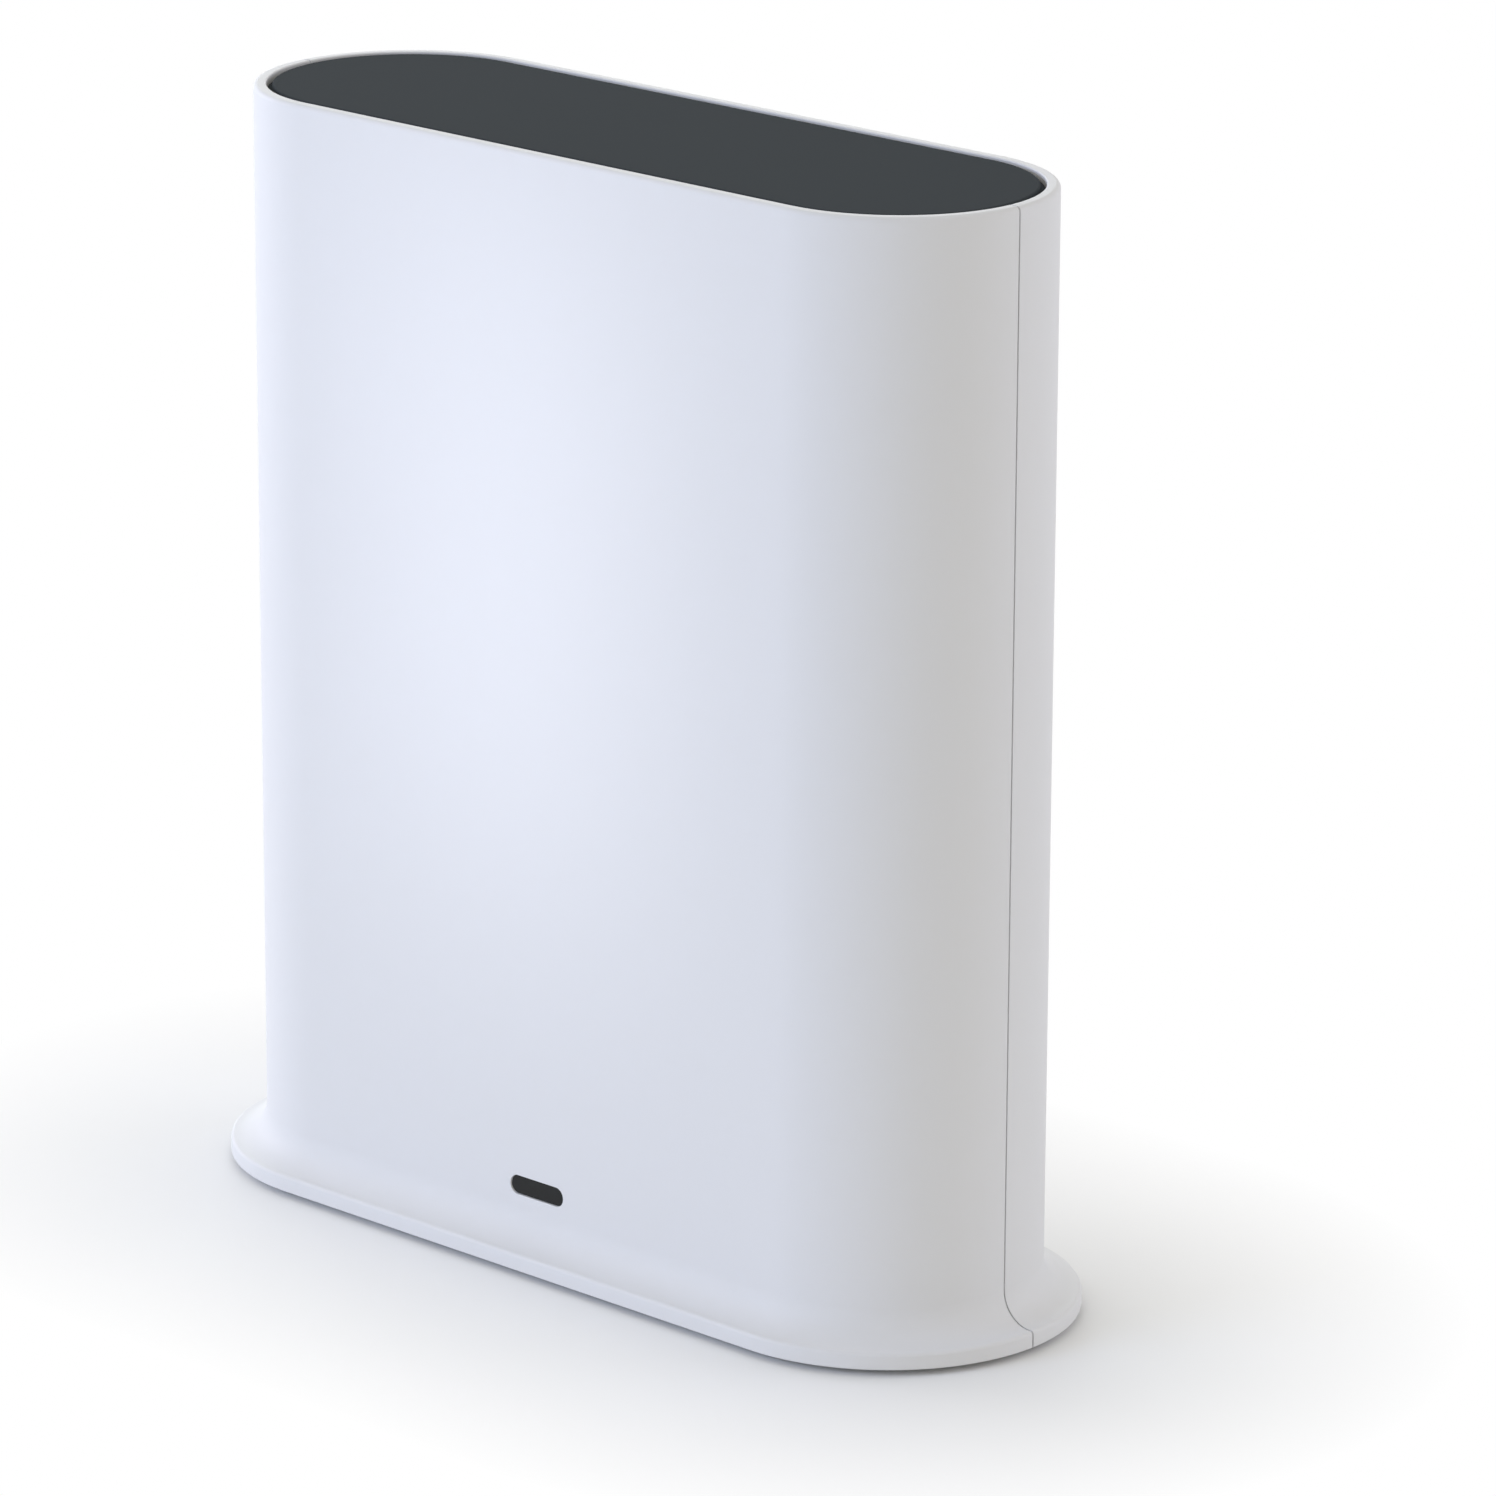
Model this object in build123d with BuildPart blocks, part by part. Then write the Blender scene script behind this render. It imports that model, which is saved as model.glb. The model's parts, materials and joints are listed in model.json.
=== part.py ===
from build123d import *
import os

os.makedirs("parts", exist_ok=True)

# A base station for wireless security cameras: a tall moulded housing in two halves
# on a flared skirt, with a recessed top panel, a status window low on the front, and
# a board with its sockets, radios and aerials inside.
# Lengths are in millimetres. The origin is the middle of the footprint, on the
# surface that the station stands on. X runs along the width, the front faces -Y and
# Z is up. On the plane XZ an extrusion runs to the front, and a negative one to the
# rear.

# Housing, outside
body_width = 145.6
body_depth = 47.3
total_height = 171.0
foot_standoff = 1.0
flare_reach = 5.7
lip_height = 2.6
lip_edge = 0.5
lip_land = 0.2
rim_edge = 0.3

# Housing, walls and joints
wall = 2.2
skirt_web = 0.8
base_ledge = 2.8
rim_thickness = 2.0
panel_recess = 0.15
panel_thickness = 1.6
panel_gap = 0.9
ledge_thickness = 1.5
ledge_width = 2.2
parting_gap = 0.3
lap_length = 2.0
lap_clearance = 0.1
lap_end_gap = 0.3

# Clearances and fits shared by several pieces
fit_clearance = 0.05
snug_clearance = 0.15
free_clearance = 0.3
cut_overrun = 1.0

# Screws into moulded posts
post_radius = 3.0
screw_radius = 1.3
screw_head_radius = 2.5
screw_head_height = 1.1
screw_length = 8.0
screw_end_room = 1.0
thread_sides = 6
round_sides = 8

# Levels and faces that several pieces share
lip_top = foot_standoff + lip_height
base_seat = lip_top - skirt_web
base_thickness = base_seat - foot_standoff
flare_radius = flare_reach - lip_edge - lip_land
base_recess_reach = flare_reach - wall
cavity_chamfer = wall + base_recess_reach - base_ledge
panel_seat = total_height - panel_recess - panel_thickness
ledge_bottom = panel_seat - ledge_thickness
ledge_inset = rim_thickness + ledge_width
lap_top = panel_seat - lap_end_gap
outer_face = body_depth / 2
inner_face = outer_face - wall
straight_width = body_width - body_depth
pilot_radius = screw_radius + fit_clearance
pilot_depth = screw_length + screw_end_room


def stadium(grow=0):
    """The outline of the housing's wall, grown by a distance all round."""
    SlotOverall(body_width + 2 * grow, body_depth + 2 * grow)


def screw_part(length):
    """A pan-head screw. Its head sits on zero, facing +Z, and its shank runs down.

    Threads aren't drawn, and heads, shanks, posts and screw holes have flat sides,
    which keeps the model light where nothing has to turn or slide."""
    with BuildPart() as screw:
        with BuildSketch():
            RegularPolygon(screw_head_radius, round_sides)
        extrude(amount=screw_head_height)
        with BuildSketch():
            RegularPolygon(screw_radius, thread_sides)
        extrude(amount=-length)
    return screw.part


# Main board: it stands behind the middle of the housing, and its sockets reach back
# to the rear wall
board_thickness = 1.6
board_bottom = 8.0
board_top_room = 43.5
board_side_room = 11.1
board_screw_inset = 5.0
board_hole_radius = 1.6
socket_depth = 15.5
socket_setback = 0.8

board_back = outer_face - socket_setback - socket_depth
board_front = board_back - board_thickness
board_width = body_width - 2 * (wall + board_side_room)
board_top = ledge_bottom - board_top_room
board_height = board_top - board_bottom
board_middle = board_bottom + board_height / 2
board_screw_x = board_width / 2 - board_screw_inset
board_screw_z = board_height / 2 - board_screw_inset
board_screw_places = [
    (side * board_screw_x, board_middle + end * board_screw_z)
    for side in (-1, 1)
    for end in (-1, 1)
]

# Row of sockets, low on the rear
port_height = 24.0
port_space = 5.4
port_clearance = 0.25
port_chamfer = 0.4
ethernet_x = 2.0
ethernet_width = 16.0
ethernet_height = 13.4
usb_width = 13.1
usb_height = 5.7
jack_width = 9.0
jack_height = 11.0
jack_nose_radius = 4.2

usb_x = ethernet_x + ethernet_width / 2 + port_space + usb_width / 2
jack_x = ethernet_x - ethernet_width / 2 - port_space - jack_width / 2
port_face = outer_face - socket_setback

# Sync button and reset hole, above the sockets
button_x = ethernet_x
button_rise = 30.0
button_radius = 6.0
button_proud = 0.6
button_edge = 0.4
button_flange = 1.4
button_flange_thickness = 1.2
button_travel = 0.5
button_rest_gap = 0.2
plunger_width = 4.0
plunger_web = 1.2
collar_wall = 1.2
collar_depth = 4.0
reset_offset = 14.0
reset_hole_radius = 0.8
reset_tube_radius = 2.4

button_z = port_height + button_rise
reset_x = usb_x
reset_z = button_z - reset_offset
button_hole_radius = button_radius + snug_clearance
flange_radius = button_radius + button_flange
collar_bore_radius = flange_radius + snug_clearance
collar_radius = collar_bore_radius + collar_wall

# Push switches on the rear of the board
switch_width = 6.2
switch_height = 3.4
stem_radius = 1.75
stem_proud = 1.6
stem_depth = 1.2
stem_end_room = 0.3
stem_gap = 0.1
reset_travel = 0.3

switch_top = board_back + switch_height
stem_top = switch_top + stem_proud

# Posts that take the base plate's screws, in both halves
base_post_spacing = 84.0
base_post_height = 11.0
base_post_inset = 6.5
base_post_web = 1.8

base_post_y = inner_face - base_post_inset

# Status window, low on the front
window_width = 11.0
window_height = 3.0
window_rise = 10.95
window_recess = 0.2
window_flange = 1.2
window_flange_thickness = 0.8

window_z = foot_standoff + window_rise

# Aerials: one at each end of the housing and one above the board
aerial_depth = 9.0
aerial_height = 42.0
aerial_thickness = 0.8
aerial_side_room = 7.5
aerial_front = 3.5
aerial_below_ledge = 62.0
rib_thickness = 2.0
rib_overlap = 1.2
rib_grip = 3.5
carrier_width = 80.0
carrier_height = 20.0
carrier_thickness = 1.6
carrier_above_board = 7.0
carrier_back_gap = 12.0
carrier_screw_inset = 8.0

aerial_x = body_width / 2 - aerial_side_room
aerial_low = ledge_bottom - aerial_below_ledge - aerial_height / 2
aerial_high = aerial_low + aerial_height
carrier_back = inner_face - carrier_back_gap
carrier_bottom = board_top + carrier_above_board
carrier_middle = carrier_bottom + carrier_height / 2
carrier_screw_places = [
    (side * (carrier_width / 2 - carrier_screw_inset), carrier_middle) for side in (-1, 1)
]

# The whole housing before it is parted: a stadium wall on a coved skirt, with the
# base plate's recess below and the panel's ledge above
with BuildPart() as shell:
    with BuildSketch(Plane.XY.offset(foot_standoff)):
        stadium(flare_reach)
    extrude(amount=lip_height)
    chamfer(edges().group_by(Axis.Z)[-1], lip_edge)
    with BuildSketch(Plane.XY.offset(lip_top)):
        stadium()
    extrude(amount=total_height - lip_top)
    chamfer(edges().group_by(Axis.Z)[-1], rim_edge)
    # The cove runs round where the wall meets the skirt's level top
    meeting_edges = edges().filter_by(Axis.X).filter_by_position(
        Axis.Z, lip_top - lip_land, lip_top + lip_land
    )
    wall_foot = meeting_edges.filter_by_position(
        Axis.Y, -outer_face - lip_land, outer_face + lip_land
    )
    fillet(wall_foot, flare_radius)
    with BuildSketch(Plane.XY.offset(foot_standoff)):
        stadium(-wall)
    extrude(amount=ledge_bottom - foot_standoff, mode=Mode.SUBTRACT)
    with BuildSketch(Plane.XY.offset(ledge_bottom)):
        stadium(-ledge_inset)
    extrude(amount=ledge_thickness, mode=Mode.SUBTRACT)
    with BuildSketch(Plane.XY.offset(panel_seat)):
        stadium(-rim_thickness)
    extrude(amount=total_height - panel_seat, mode=Mode.SUBTRACT)
    with BuildSketch(Plane.XY.offset(foot_standoff)):
        stadium(base_recess_reach)
    extrude(amount=base_thickness, mode=Mode.SUBTRACT)
    seat_edges = edges().filter_by(Axis.X).filter_by_position(
        Axis.Z, base_seat - lip_land, base_seat + lip_land
    )
    cavity_mouth = seat_edges.filter_by_position(Axis.Y, -outer_face, outer_face)
    chamfer(cavity_mouth, cavity_chamfer)

# The inner half of the wall carries on past the parting plane as a tongue
with BuildPart() as lap_tongue:
    add(shell.part)
    with BuildSketch(Plane.XY.offset(foot_standoff)):
        stadium(-(wall + lap_clearance) / 2)
    extrude(amount=lap_top - foot_standoff, mode=Mode.INTERSECT)
    split(bisect_by=Plane.XZ.offset(-lap_length), keep=Keep.TOP)
    split(bisect_by=Plane.XZ.offset(lap_length), keep=Keep.BOTTOM)

with BuildPart() as lap_rebate:
    with BuildSketch(Plane.XY.offset(foot_standoff)):
        stadium(-(wall - lap_clearance) / 2)
    extrude(amount=lap_top + lap_end_gap - foot_standoff)
    split(bisect_by=Plane.XZ.offset(-(lap_length + lap_end_gap)), keep=Keep.TOP)


# Screw posts for the base plate, one half's pair. Each has a web to the wall beside it
def base_posts_part(side):
    """The pair of upright posts by the front wall (-1) or the rear wall (1)."""
    with BuildPart() as posts:
        with BuildSketch(Plane.XY.offset(base_seat)):
            with Locations((0, side * base_post_y)):
                with GridLocations(base_post_spacing, 0, 2, 1):
                    RegularPolygon(post_radius, round_sides)
            with Locations((0, side * (base_post_y + base_post_inset / 2))):
                with GridLocations(base_post_spacing, 0, 2, 1):
                    Rectangle(base_post_web, base_post_inset + wall)
        extrude(amount=base_post_height)
        with BuildSketch(Plane.XY.offset(base_seat)):
            stadium(-wall / 2)
        extrude(amount=base_post_height, mode=Mode.INTERSECT)
        with BuildSketch(Plane.XY.offset(base_seat)):
            with Locations((0, side * base_post_y)):
                with GridLocations(base_post_spacing, 0, 2, 1):
                    RegularPolygon(pilot_radius, thread_sides)
        extrude(amount=pilot_depth, mode=Mode.SUBTRACT)
    return posts.part


front_base_posts = base_posts_part(-1)
rear_base_posts = base_posts_part(1)

# Front half of the housing, with the tongue and the window's opening
with BuildPart() as front_cover:
    add(shell.part)
    split(bisect_by=Plane.XZ.offset(parting_gap / 2), keep=Keep.TOP)
    add(lap_tongue.part)
    add(front_base_posts)
    with BuildSketch(Plane.XZ.offset(inner_face - cut_overrun)):
        with Locations((0, window_z)):
            SlotOverall(window_width, window_height)
    extrude(amount=wall + 2 * cut_overrun, mode=Mode.SUBTRACT)
front_cover.part.label = "front_cover"
export_step(front_cover.part, "parts/front_cover.step")

# What the rear half carries inside: the board's posts, the aerial carrier's posts,
# the button's collar, the tube behind the reset hole and the ribs that hold the end
# aerials
with BuildPart() as rear_fittings:
    with BuildSketch(Plane.XZ.offset(-board_back)):
        with Locations(*board_screw_places):
            RegularPolygon(post_radius, round_sides)
    extrude(amount=board_back - outer_face)
    with BuildSketch(Plane.XZ.offset(-carrier_back)):
        with Locations(*carrier_screw_places):
            RegularPolygon(post_radius, round_sides)
    extrude(amount=carrier_back - outer_face)
    with BuildSketch(Plane.XZ.offset(-(inner_face - collar_depth))):
        with Locations((button_x, button_z)):
            Circle(collar_radius)
            Circle(collar_bore_radius, mode=Mode.SUBTRACT)
    extrude(amount=-(collar_depth + wall / 2))
    with BuildSketch(Plane.XZ.offset(-(stem_top + free_clearance))):
        with Locations((reset_x, reset_z)):
            RegularPolygon(reset_tube_radius, round_sides)
    extrude(amount=stem_top + free_clearance - outer_face)
    for rib_bottom in (aerial_low + rib_overlap - rib_thickness, aerial_high - rib_overlap):
        with BuildSketch(Plane.XY.offset(rib_bottom)):
            with Locations((0, aerial_front)):
                with GridLocations(2 * aerial_x + aerial_side_room - rib_grip, 0, 2, 1):
                    Rectangle(
                        aerial_side_room + rib_grip,
                        aerial_depth + rib_thickness,
                        align=(Align.CENTER, Align.MIN),
                    )
        extrude(amount=rib_thickness)
    with BuildSketch(Plane.XY):
        stadium(-wall / 2)
    extrude(amount=total_height, mode=Mode.INTERSECT)
    with BuildSketch(Plane.XY.offset(aerial_low - fit_clearance)):
        with Locations((0, aerial_front + aerial_depth / 2)):
            with GridLocations(2 * aerial_x, 0, 2, 1):
                Rectangle(aerial_thickness + 2 * fit_clearance, aerial_depth + 2 * fit_clearance)
    extrude(amount=aerial_height + 2 * fit_clearance, mode=Mode.SUBTRACT)
    with BuildSketch(Plane.XZ.offset(-board_back)):
        with Locations(*board_screw_places):
            RegularPolygon(pilot_radius, thread_sides)
    extrude(amount=-pilot_depth, mode=Mode.SUBTRACT)
    with BuildSketch(Plane.XZ.offset(-carrier_back)):
        with Locations(*carrier_screw_places):
            RegularPolygon(pilot_radius, thread_sides)
    extrude(amount=-pilot_depth, mode=Mode.SUBTRACT)

# Rear half of the housing, with its sockets' openings
with BuildPart() as rear_cover:
    add(shell.part)
    split(bisect_by=Plane.XZ.offset(-parting_gap / 2), keep=Keep.BOTTOM)
    add(rear_fittings.part)
    add(rear_base_posts)
    add(lap_rebate.part, mode=Mode.SUBTRACT)
    with BuildSketch(Plane.XZ.offset(-stem_top)):
        with Locations((reset_x, reset_z)):
            Circle(reset_hole_radius)
    extrude(amount=stem_top - outer_face - cut_overrun, mode=Mode.SUBTRACT)
    with BuildSketch(Plane.XZ.offset(-inner_face)):
        with Locations((ethernet_x, port_height)):
            Rectangle(
                ethernet_width + 2 * port_clearance,
                ethernet_height + 2 * port_clearance,
            )
        with Locations((usb_x, port_height)):
            Rectangle(
                usb_width + 2 * port_clearance,
                usb_height + 2 * port_clearance,
            )
        with Locations((jack_x, port_height)):
            Circle(jack_nose_radius + port_clearance)
        with Locations((button_x, button_z)):
            Circle(button_hole_radius)
    extrude(amount=-wall, mode=Mode.SUBTRACT)
    port_mouths = edges(Select.LAST).filter_by_position(Axis.Y, outer_face, outer_face)
    chamfer(port_mouths, port_chamfer)
rear_cover.part.label = "rear_cover"
export_step(rear_cover.part, "parts/rear_cover.step")

# Top panel: a plate on the ledge, with a locating rib and snap arms under it
panel_edge = 0.25
panel_rib_depth = 1.2
panel_rib_thickness = 1.2
arm_width = 8.0
arm_thickness = 1.2
arm_drop = 3.4
hook_reach = 0.7
hook_height = 1.2
arm_count = 4

panel_inset = rim_thickness + panel_gap
panel_rib_inset = ledge_inset + snug_clearance
arm_outer = outer_face - panel_rib_inset
arm_bottom = ledge_bottom - arm_drop
hook_top = ledge_bottom - snug_clearance
arm_pitch = straight_width / arm_count
arm_planes = [
    Plane.YZ.offset((n - (arm_count - 1) / 2) * arm_pitch - arm_width / 2)
    for n in range(arm_count)
]

with BuildPart() as top_panel:
    with BuildSketch(Plane.XY.offset(panel_seat)):
        stadium(-panel_inset)
    extrude(amount=panel_thickness)
    chamfer(edges().group_by(Axis.Z)[-1], panel_edge)
    with BuildSketch(Plane.XY.offset(panel_seat - panel_rib_depth)):
        stadium(-panel_rib_inset)
        offset(amount=-panel_rib_thickness, mode=Mode.SUBTRACT)
    extrude(amount=panel_rib_depth)
    with BuildSketch(*arm_planes):
        with BuildLine():
            Polyline(
                (arm_outer - arm_thickness, panel_seat),
                (arm_outer, panel_seat),
                (arm_outer, hook_top),
                (arm_outer + hook_reach, hook_top),
                (arm_outer + hook_reach, hook_top - hook_height / 2),
                (arm_outer, arm_bottom),
                (arm_outer - arm_thickness, arm_bottom),
                close=True,
            )
        make_face()
        mirror(about=Plane.YZ)
    extrude(amount=arm_width)
top_panel.part.label = "top_panel"
export_step(top_panel.part, "parts/top_panel.step")

# Status window: a smoked lens in the front wall, with a flange behind it
with BuildPart() as status_window:
    with BuildSketch(Plane.XZ.offset(inner_face)):
        with Locations((0, window_z)):
            SlotOverall(window_width - 2 * fit_clearance, window_height - 2 * fit_clearance)
    extrude(amount=wall - window_recess)
    with BuildSketch(Plane.XZ.offset(inner_face)):
        with Locations((0, window_z)):
            SlotOverall(window_width + 2 * window_flange, window_height + 2 * window_flange)
    extrude(amount=-window_flange_thickness)
status_window.part.label = "status_window"
export_step(status_window.part, "parts/status_window.step")

# Base plate, with vent slots and counterbored screw holes, and the foot pad under it
vent_length = 18.0
vent_width = 2.0
vent_pitch = 5.0
vent_count = 11
pad_edge_inset = 2.0
pad_width = 5.0

pad_outer_grow = base_recess_reach - pad_edge_inset
underside = Plane(origin=(0, 0, foot_standoff), x_dir=(1, 0, 0), z_dir=(0, 0, -1))
screw_seat = underside.offset(-screw_head_height)

with BuildPart() as base_plate:
    with BuildSketch(Plane.XY.offset(foot_standoff)):
        stadium(base_recess_reach - snug_clearance)
        with GridLocations(vent_pitch, 0, vent_count, 1):
            Rectangle(vent_width, vent_length, mode=Mode.SUBTRACT)
    extrude(amount=base_thickness)
    with BuildSketch(underside):
        with GridLocations(base_post_spacing, 2 * base_post_y, 2, 2):
            RegularPolygon(screw_head_radius + snug_clearance, round_sides)
    extrude(amount=-screw_head_height, mode=Mode.SUBTRACT)
    with BuildSketch(underside):
        with GridLocations(base_post_spacing, 2 * base_post_y, 2, 2):
            RegularPolygon(screw_radius + snug_clearance, round_sides)
    extrude(amount=-base_thickness, mode=Mode.SUBTRACT)
base_plate.part.label = "base_plate"
export_step(base_plate.part, "parts/base_plate.step")

with BuildPart() as foot_pad:
    with BuildSketch(Plane.XY):
        stadium(pad_outer_grow)
        offset(amount=-pad_width, mode=Mode.SUBTRACT)
    extrude(amount=foot_standoff)
foot_pad.part.label = "foot_pad"
export_step(foot_pad.part, "parts/foot_pad.step")

with BuildPart(screw_seat) as base_screws:
    with GridLocations(base_post_spacing, 2 * base_post_y, 2, 2):
        add(screw_part(screw_length))
base_screws.part.label = "base_screws"
export_step(base_screws.part, "parts/base_screws.step")

# Status light: a lamp on the board, a clear pipe to the window and the black tube
# that holds the pipe and keeps its light in
lamp_width = 3.0
lamp_height = 1.6
lamp_thickness = 0.9
shroud_width = 13.4
shroud_height = 7.0
shroud_wall = 1.4
peg_width = 1.2
pipe_flange_thickness = 1.0

shroud_bore_width = shroud_width - 2 * shroud_wall
shroud_bore_height = shroud_height - 2 * shroud_wall
pipe_face = inner_face - window_flange_thickness - free_clearance
pipe_seat = pipe_face - pipe_flange_thickness
pipe_back = lamp_thickness + snug_clearance - board_front
peg_spacing = shroud_width - shroud_wall

with BuildPart() as status_lamp:
    with BuildSketch(Plane.XZ.offset(-board_front)):
        with Locations((0, window_z)):
            Rectangle(lamp_width, lamp_height)
    extrude(amount=lamp_thickness)
status_lamp.part.label = "status_lamp"
export_step(status_lamp.part, "parts/status_lamp.step")

with BuildPart() as light_shroud:
    with BuildSketch(Plane.XZ.offset(-board_front)):
        with Locations((0, window_z)):
            Rectangle(shroud_width, shroud_height)
            Rectangle(shroud_bore_width, shroud_bore_height, mode=Mode.SUBTRACT)
    extrude(amount=board_front + pipe_seat)
    with BuildSketch(Plane.XZ.offset(-board_front)):
        with Locations((0, window_z)):
            with GridLocations(peg_spacing, 0, 2, 1):
                Rectangle(peg_width, peg_width)
    extrude(amount=-board_thickness)
light_shroud.part.label = "light_shroud"
export_step(light_shroud.part, "parts/light_shroud.step")

with BuildPart() as light_pipe:
    with BuildSketch(Plane.XZ.offset(pipe_back)):
        with Locations((0, window_z)):
            Rectangle(
                shroud_bore_width - 2 * snug_clearance,
                shroud_bore_height - 2 * snug_clearance,
            )
    extrude(amount=pipe_seat - pipe_back)
    with BuildSketch(Plane.XZ.offset(pipe_seat)):
        with Locations((0, window_z)):
            Rectangle(shroud_width, shroud_height)
    extrude(amount=pipe_flange_thickness)
light_pipe.part.label = "light_pipe"
export_step(light_pipe.part, "parts/light_pipe.step")

# Processor, its memory and its heat sink on the front of the board
processor_x = -6.0
processor_width = 19.0
processor_height = 1.5
thermal_pad_width = 17.0
thermal_pad_thickness = 0.6
memory_width = 9.0
memory_length = 13.0
memory_height = 1.1
memory_space = 4.0
memory_gap = 2.0
sink_width = 64.0
sink_rise = 37.0
sink_drop = 25.0
sink_base = 2.5
sink_leg_width = 5.0
sink_leg_inset = 4.0
fin_count = 13
fin_height = 9.0
fin_thickness = 1.2
sink_screw_length = 5.0

sink_height = board_height - sink_rise - sink_drop
processor_z = board_bottom + sink_rise + sink_height / 2
memory_x = processor_x + processor_width / 2 + memory_space + memory_width / 2
sink_back = processor_height + thermal_pad_thickness - board_front
sink_leg_x = sink_width / 2 - sink_leg_inset
sink_leg_z = sink_height / 2 - sink_leg_inset
sink_leg_places = [
    (processor_x - sink_leg_x, processor_z + sink_leg_z),
    (processor_x + sink_leg_x, processor_z - sink_leg_z),
]
fin_pitch = (sink_width - fin_thickness) / (fin_count - 1)

with BuildPart() as processor:
    with BuildSketch(Plane.XZ.offset(-board_front)):
        with Locations((processor_x, processor_z)):
            Rectangle(processor_width, processor_width)
    extrude(amount=processor_height)
processor.part.label = "processor"
export_step(processor.part, "parts/processor.step")

with BuildPart() as memory_chips:
    with BuildSketch(Plane.XZ.offset(-board_front)):
        with Locations((memory_x, processor_z)):
            with GridLocations(0, memory_length + memory_gap, 1, 2):
                Rectangle(memory_width, memory_length)
    extrude(amount=memory_height)
memory_chips.part.label = "memory_chips"
export_step(memory_chips.part, "parts/memory_chips.step")

with BuildPart() as thermal_pad:
    with BuildSketch(Plane.XZ.offset(processor_height - board_front)):
        with Locations((processor_x, processor_z)):
            Rectangle(thermal_pad_width, thermal_pad_width)
    extrude(amount=thermal_pad_thickness)
thermal_pad.part.label = "thermal_pad"
export_step(thermal_pad.part, "parts/thermal_pad.step")

with BuildPart() as heat_sink:
    with BuildSketch(Plane.XZ.offset(sink_back)):
        with Locations((processor_x, processor_z)):
            Rectangle(sink_width, sink_height)
    extrude(amount=sink_base)
    with BuildSketch(Plane.XZ.offset(sink_back + sink_base)):
        with Locations((processor_x, processor_z)):
            with GridLocations(fin_pitch, 0, fin_count, 1):
                Rectangle(fin_thickness, sink_height)
    extrude(amount=fin_height)
    with BuildSketch(Plane.XZ.offset(-board_front)):
        with Locations(*sink_leg_places):
            Rectangle(sink_leg_width, sink_leg_width)
    extrude(amount=sink_back + board_front)
    with BuildSketch(Plane.XZ.offset(-board_front)):
        with Locations(*sink_leg_places):
            RegularPolygon(pilot_radius, thread_sides)
    extrude(amount=sink_screw_length - board_thickness, mode=Mode.SUBTRACT)
heat_sink.part.label = "heat_sink"
export_step(heat_sink.part, "parts/heat_sink.step")

# Radio modules under a folded metal can, above the heat sink
radio_width = 9.0
radio_height = 1.0
radio_count = 3
radio_pitch = 14.0
can_width = 44.0
can_height = 13.0
can_depth = 3.0
can_thickness = 0.3
can_above_sink = 2.5

can_z = processor_z + sink_height / 2 + can_above_sink + can_height / 2

with BuildPart() as radio_chips:
    with BuildSketch(Plane.XZ.offset(-board_front)):
        with Locations((processor_x, can_z)):
            with GridLocations(radio_pitch, 0, radio_count, 1):
                Rectangle(radio_width, radio_width)
    extrude(amount=radio_height)
radio_chips.part.label = "radio_chips"
export_step(radio_chips.part, "parts/radio_chips.step")

with BuildPart() as radio_shield:
    with BuildSketch(Plane.XZ.offset(-board_front)):
        with Locations((processor_x, can_z)):
            Rectangle(can_width, can_height)
    extrude(amount=can_depth)
    with BuildSketch(Plane.XZ.offset(-board_front)):
        with Locations((processor_x, can_z)):
            Rectangle(can_width - 2 * can_thickness, can_height - 2 * can_thickness)
    extrude(amount=can_depth - can_thickness, mode=Mode.SUBTRACT)
radio_shield.part.label = "radio_shield"
export_step(radio_shield.part, "parts/radio_shield.step")

# Power parts beside the power socket, and the network transformer above its socket
capacitor_radius = 3.2
capacitor_height = 7.7
capacitor_count = 3
capacitor_pitch = 8.0
inductor_width = 6.6
inductor_height = 3.4
inductor_rise = 11.0
transformer_width = 16.0
transformer_length = 9.4
transformer_height = 4.0
transformer_space = 1.6

capacitor_x = jack_x - jack_width / 2 - capacitor_pitch
transformer_z = port_height + ethernet_height / 2 + transformer_space + transformer_length / 2

with BuildPart() as capacitors:
    with BuildSketch(Plane.XZ.offset(-board_front)):
        with Locations((capacitor_x, port_height)):
            with GridLocations(capacitor_pitch, 0, capacitor_count, 1):
                Circle(capacitor_radius)
    extrude(amount=capacitor_height)
capacitors.part.label = "capacitors"
export_step(capacitors.part, "parts/capacitors.step")

with BuildPart() as inductors:
    with BuildSketch(Plane.XZ.offset(-board_front)):
        with Locations((capacitor_x, port_height + inductor_rise)):
            with GridLocations(2 * capacitor_pitch, 0, 2, 1):
                Rectangle(inductor_width, inductor_width)
    extrude(amount=inductor_height)
inductors.part.label = "inductors"
export_step(inductors.part, "parts/inductors.step")

with BuildPart() as network_transformer:
    with BuildSketch(Plane.XZ.offset(-board_back)):
        with Locations((ethernet_x, transformer_z)):
            Rectangle(transformer_width, transformer_length)
    extrude(amount=-transformer_height)
network_transformer.part.label = "network_transformer"
export_step(network_transformer.part, "parts/network_transformer.step")

# Main board, with holes for its screws, the heat sink's screws and the shroud's pegs
with BuildPart() as main_board:
    with BuildSketch(Plane.XZ.offset(-board_back)):
        with Locations((0, board_middle)):
            Rectangle(board_width, board_height)
        with Locations(*board_screw_places, *sink_leg_places):
            RegularPolygon(board_hole_radius, round_sides, mode=Mode.SUBTRACT)
        with Locations((0, window_z)):
            with GridLocations(peg_spacing, 0, 2, 1):
                Rectangle(
                    peg_width + 2 * fit_clearance,
                    peg_width + 2 * fit_clearance,
                    mode=Mode.SUBTRACT,
                )
    extrude(amount=board_thickness)
main_board.part.label = "main_board"
export_step(main_board.part, "parts/main_board.step")

with BuildPart(Plane.XZ.offset(-board_front)) as board_screws:
    with Locations(*board_screw_places):
        add(screw_part(screw_length))
board_screws.part.label = "board_screws"
export_step(board_screws.part, "parts/board_screws.step")

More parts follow.
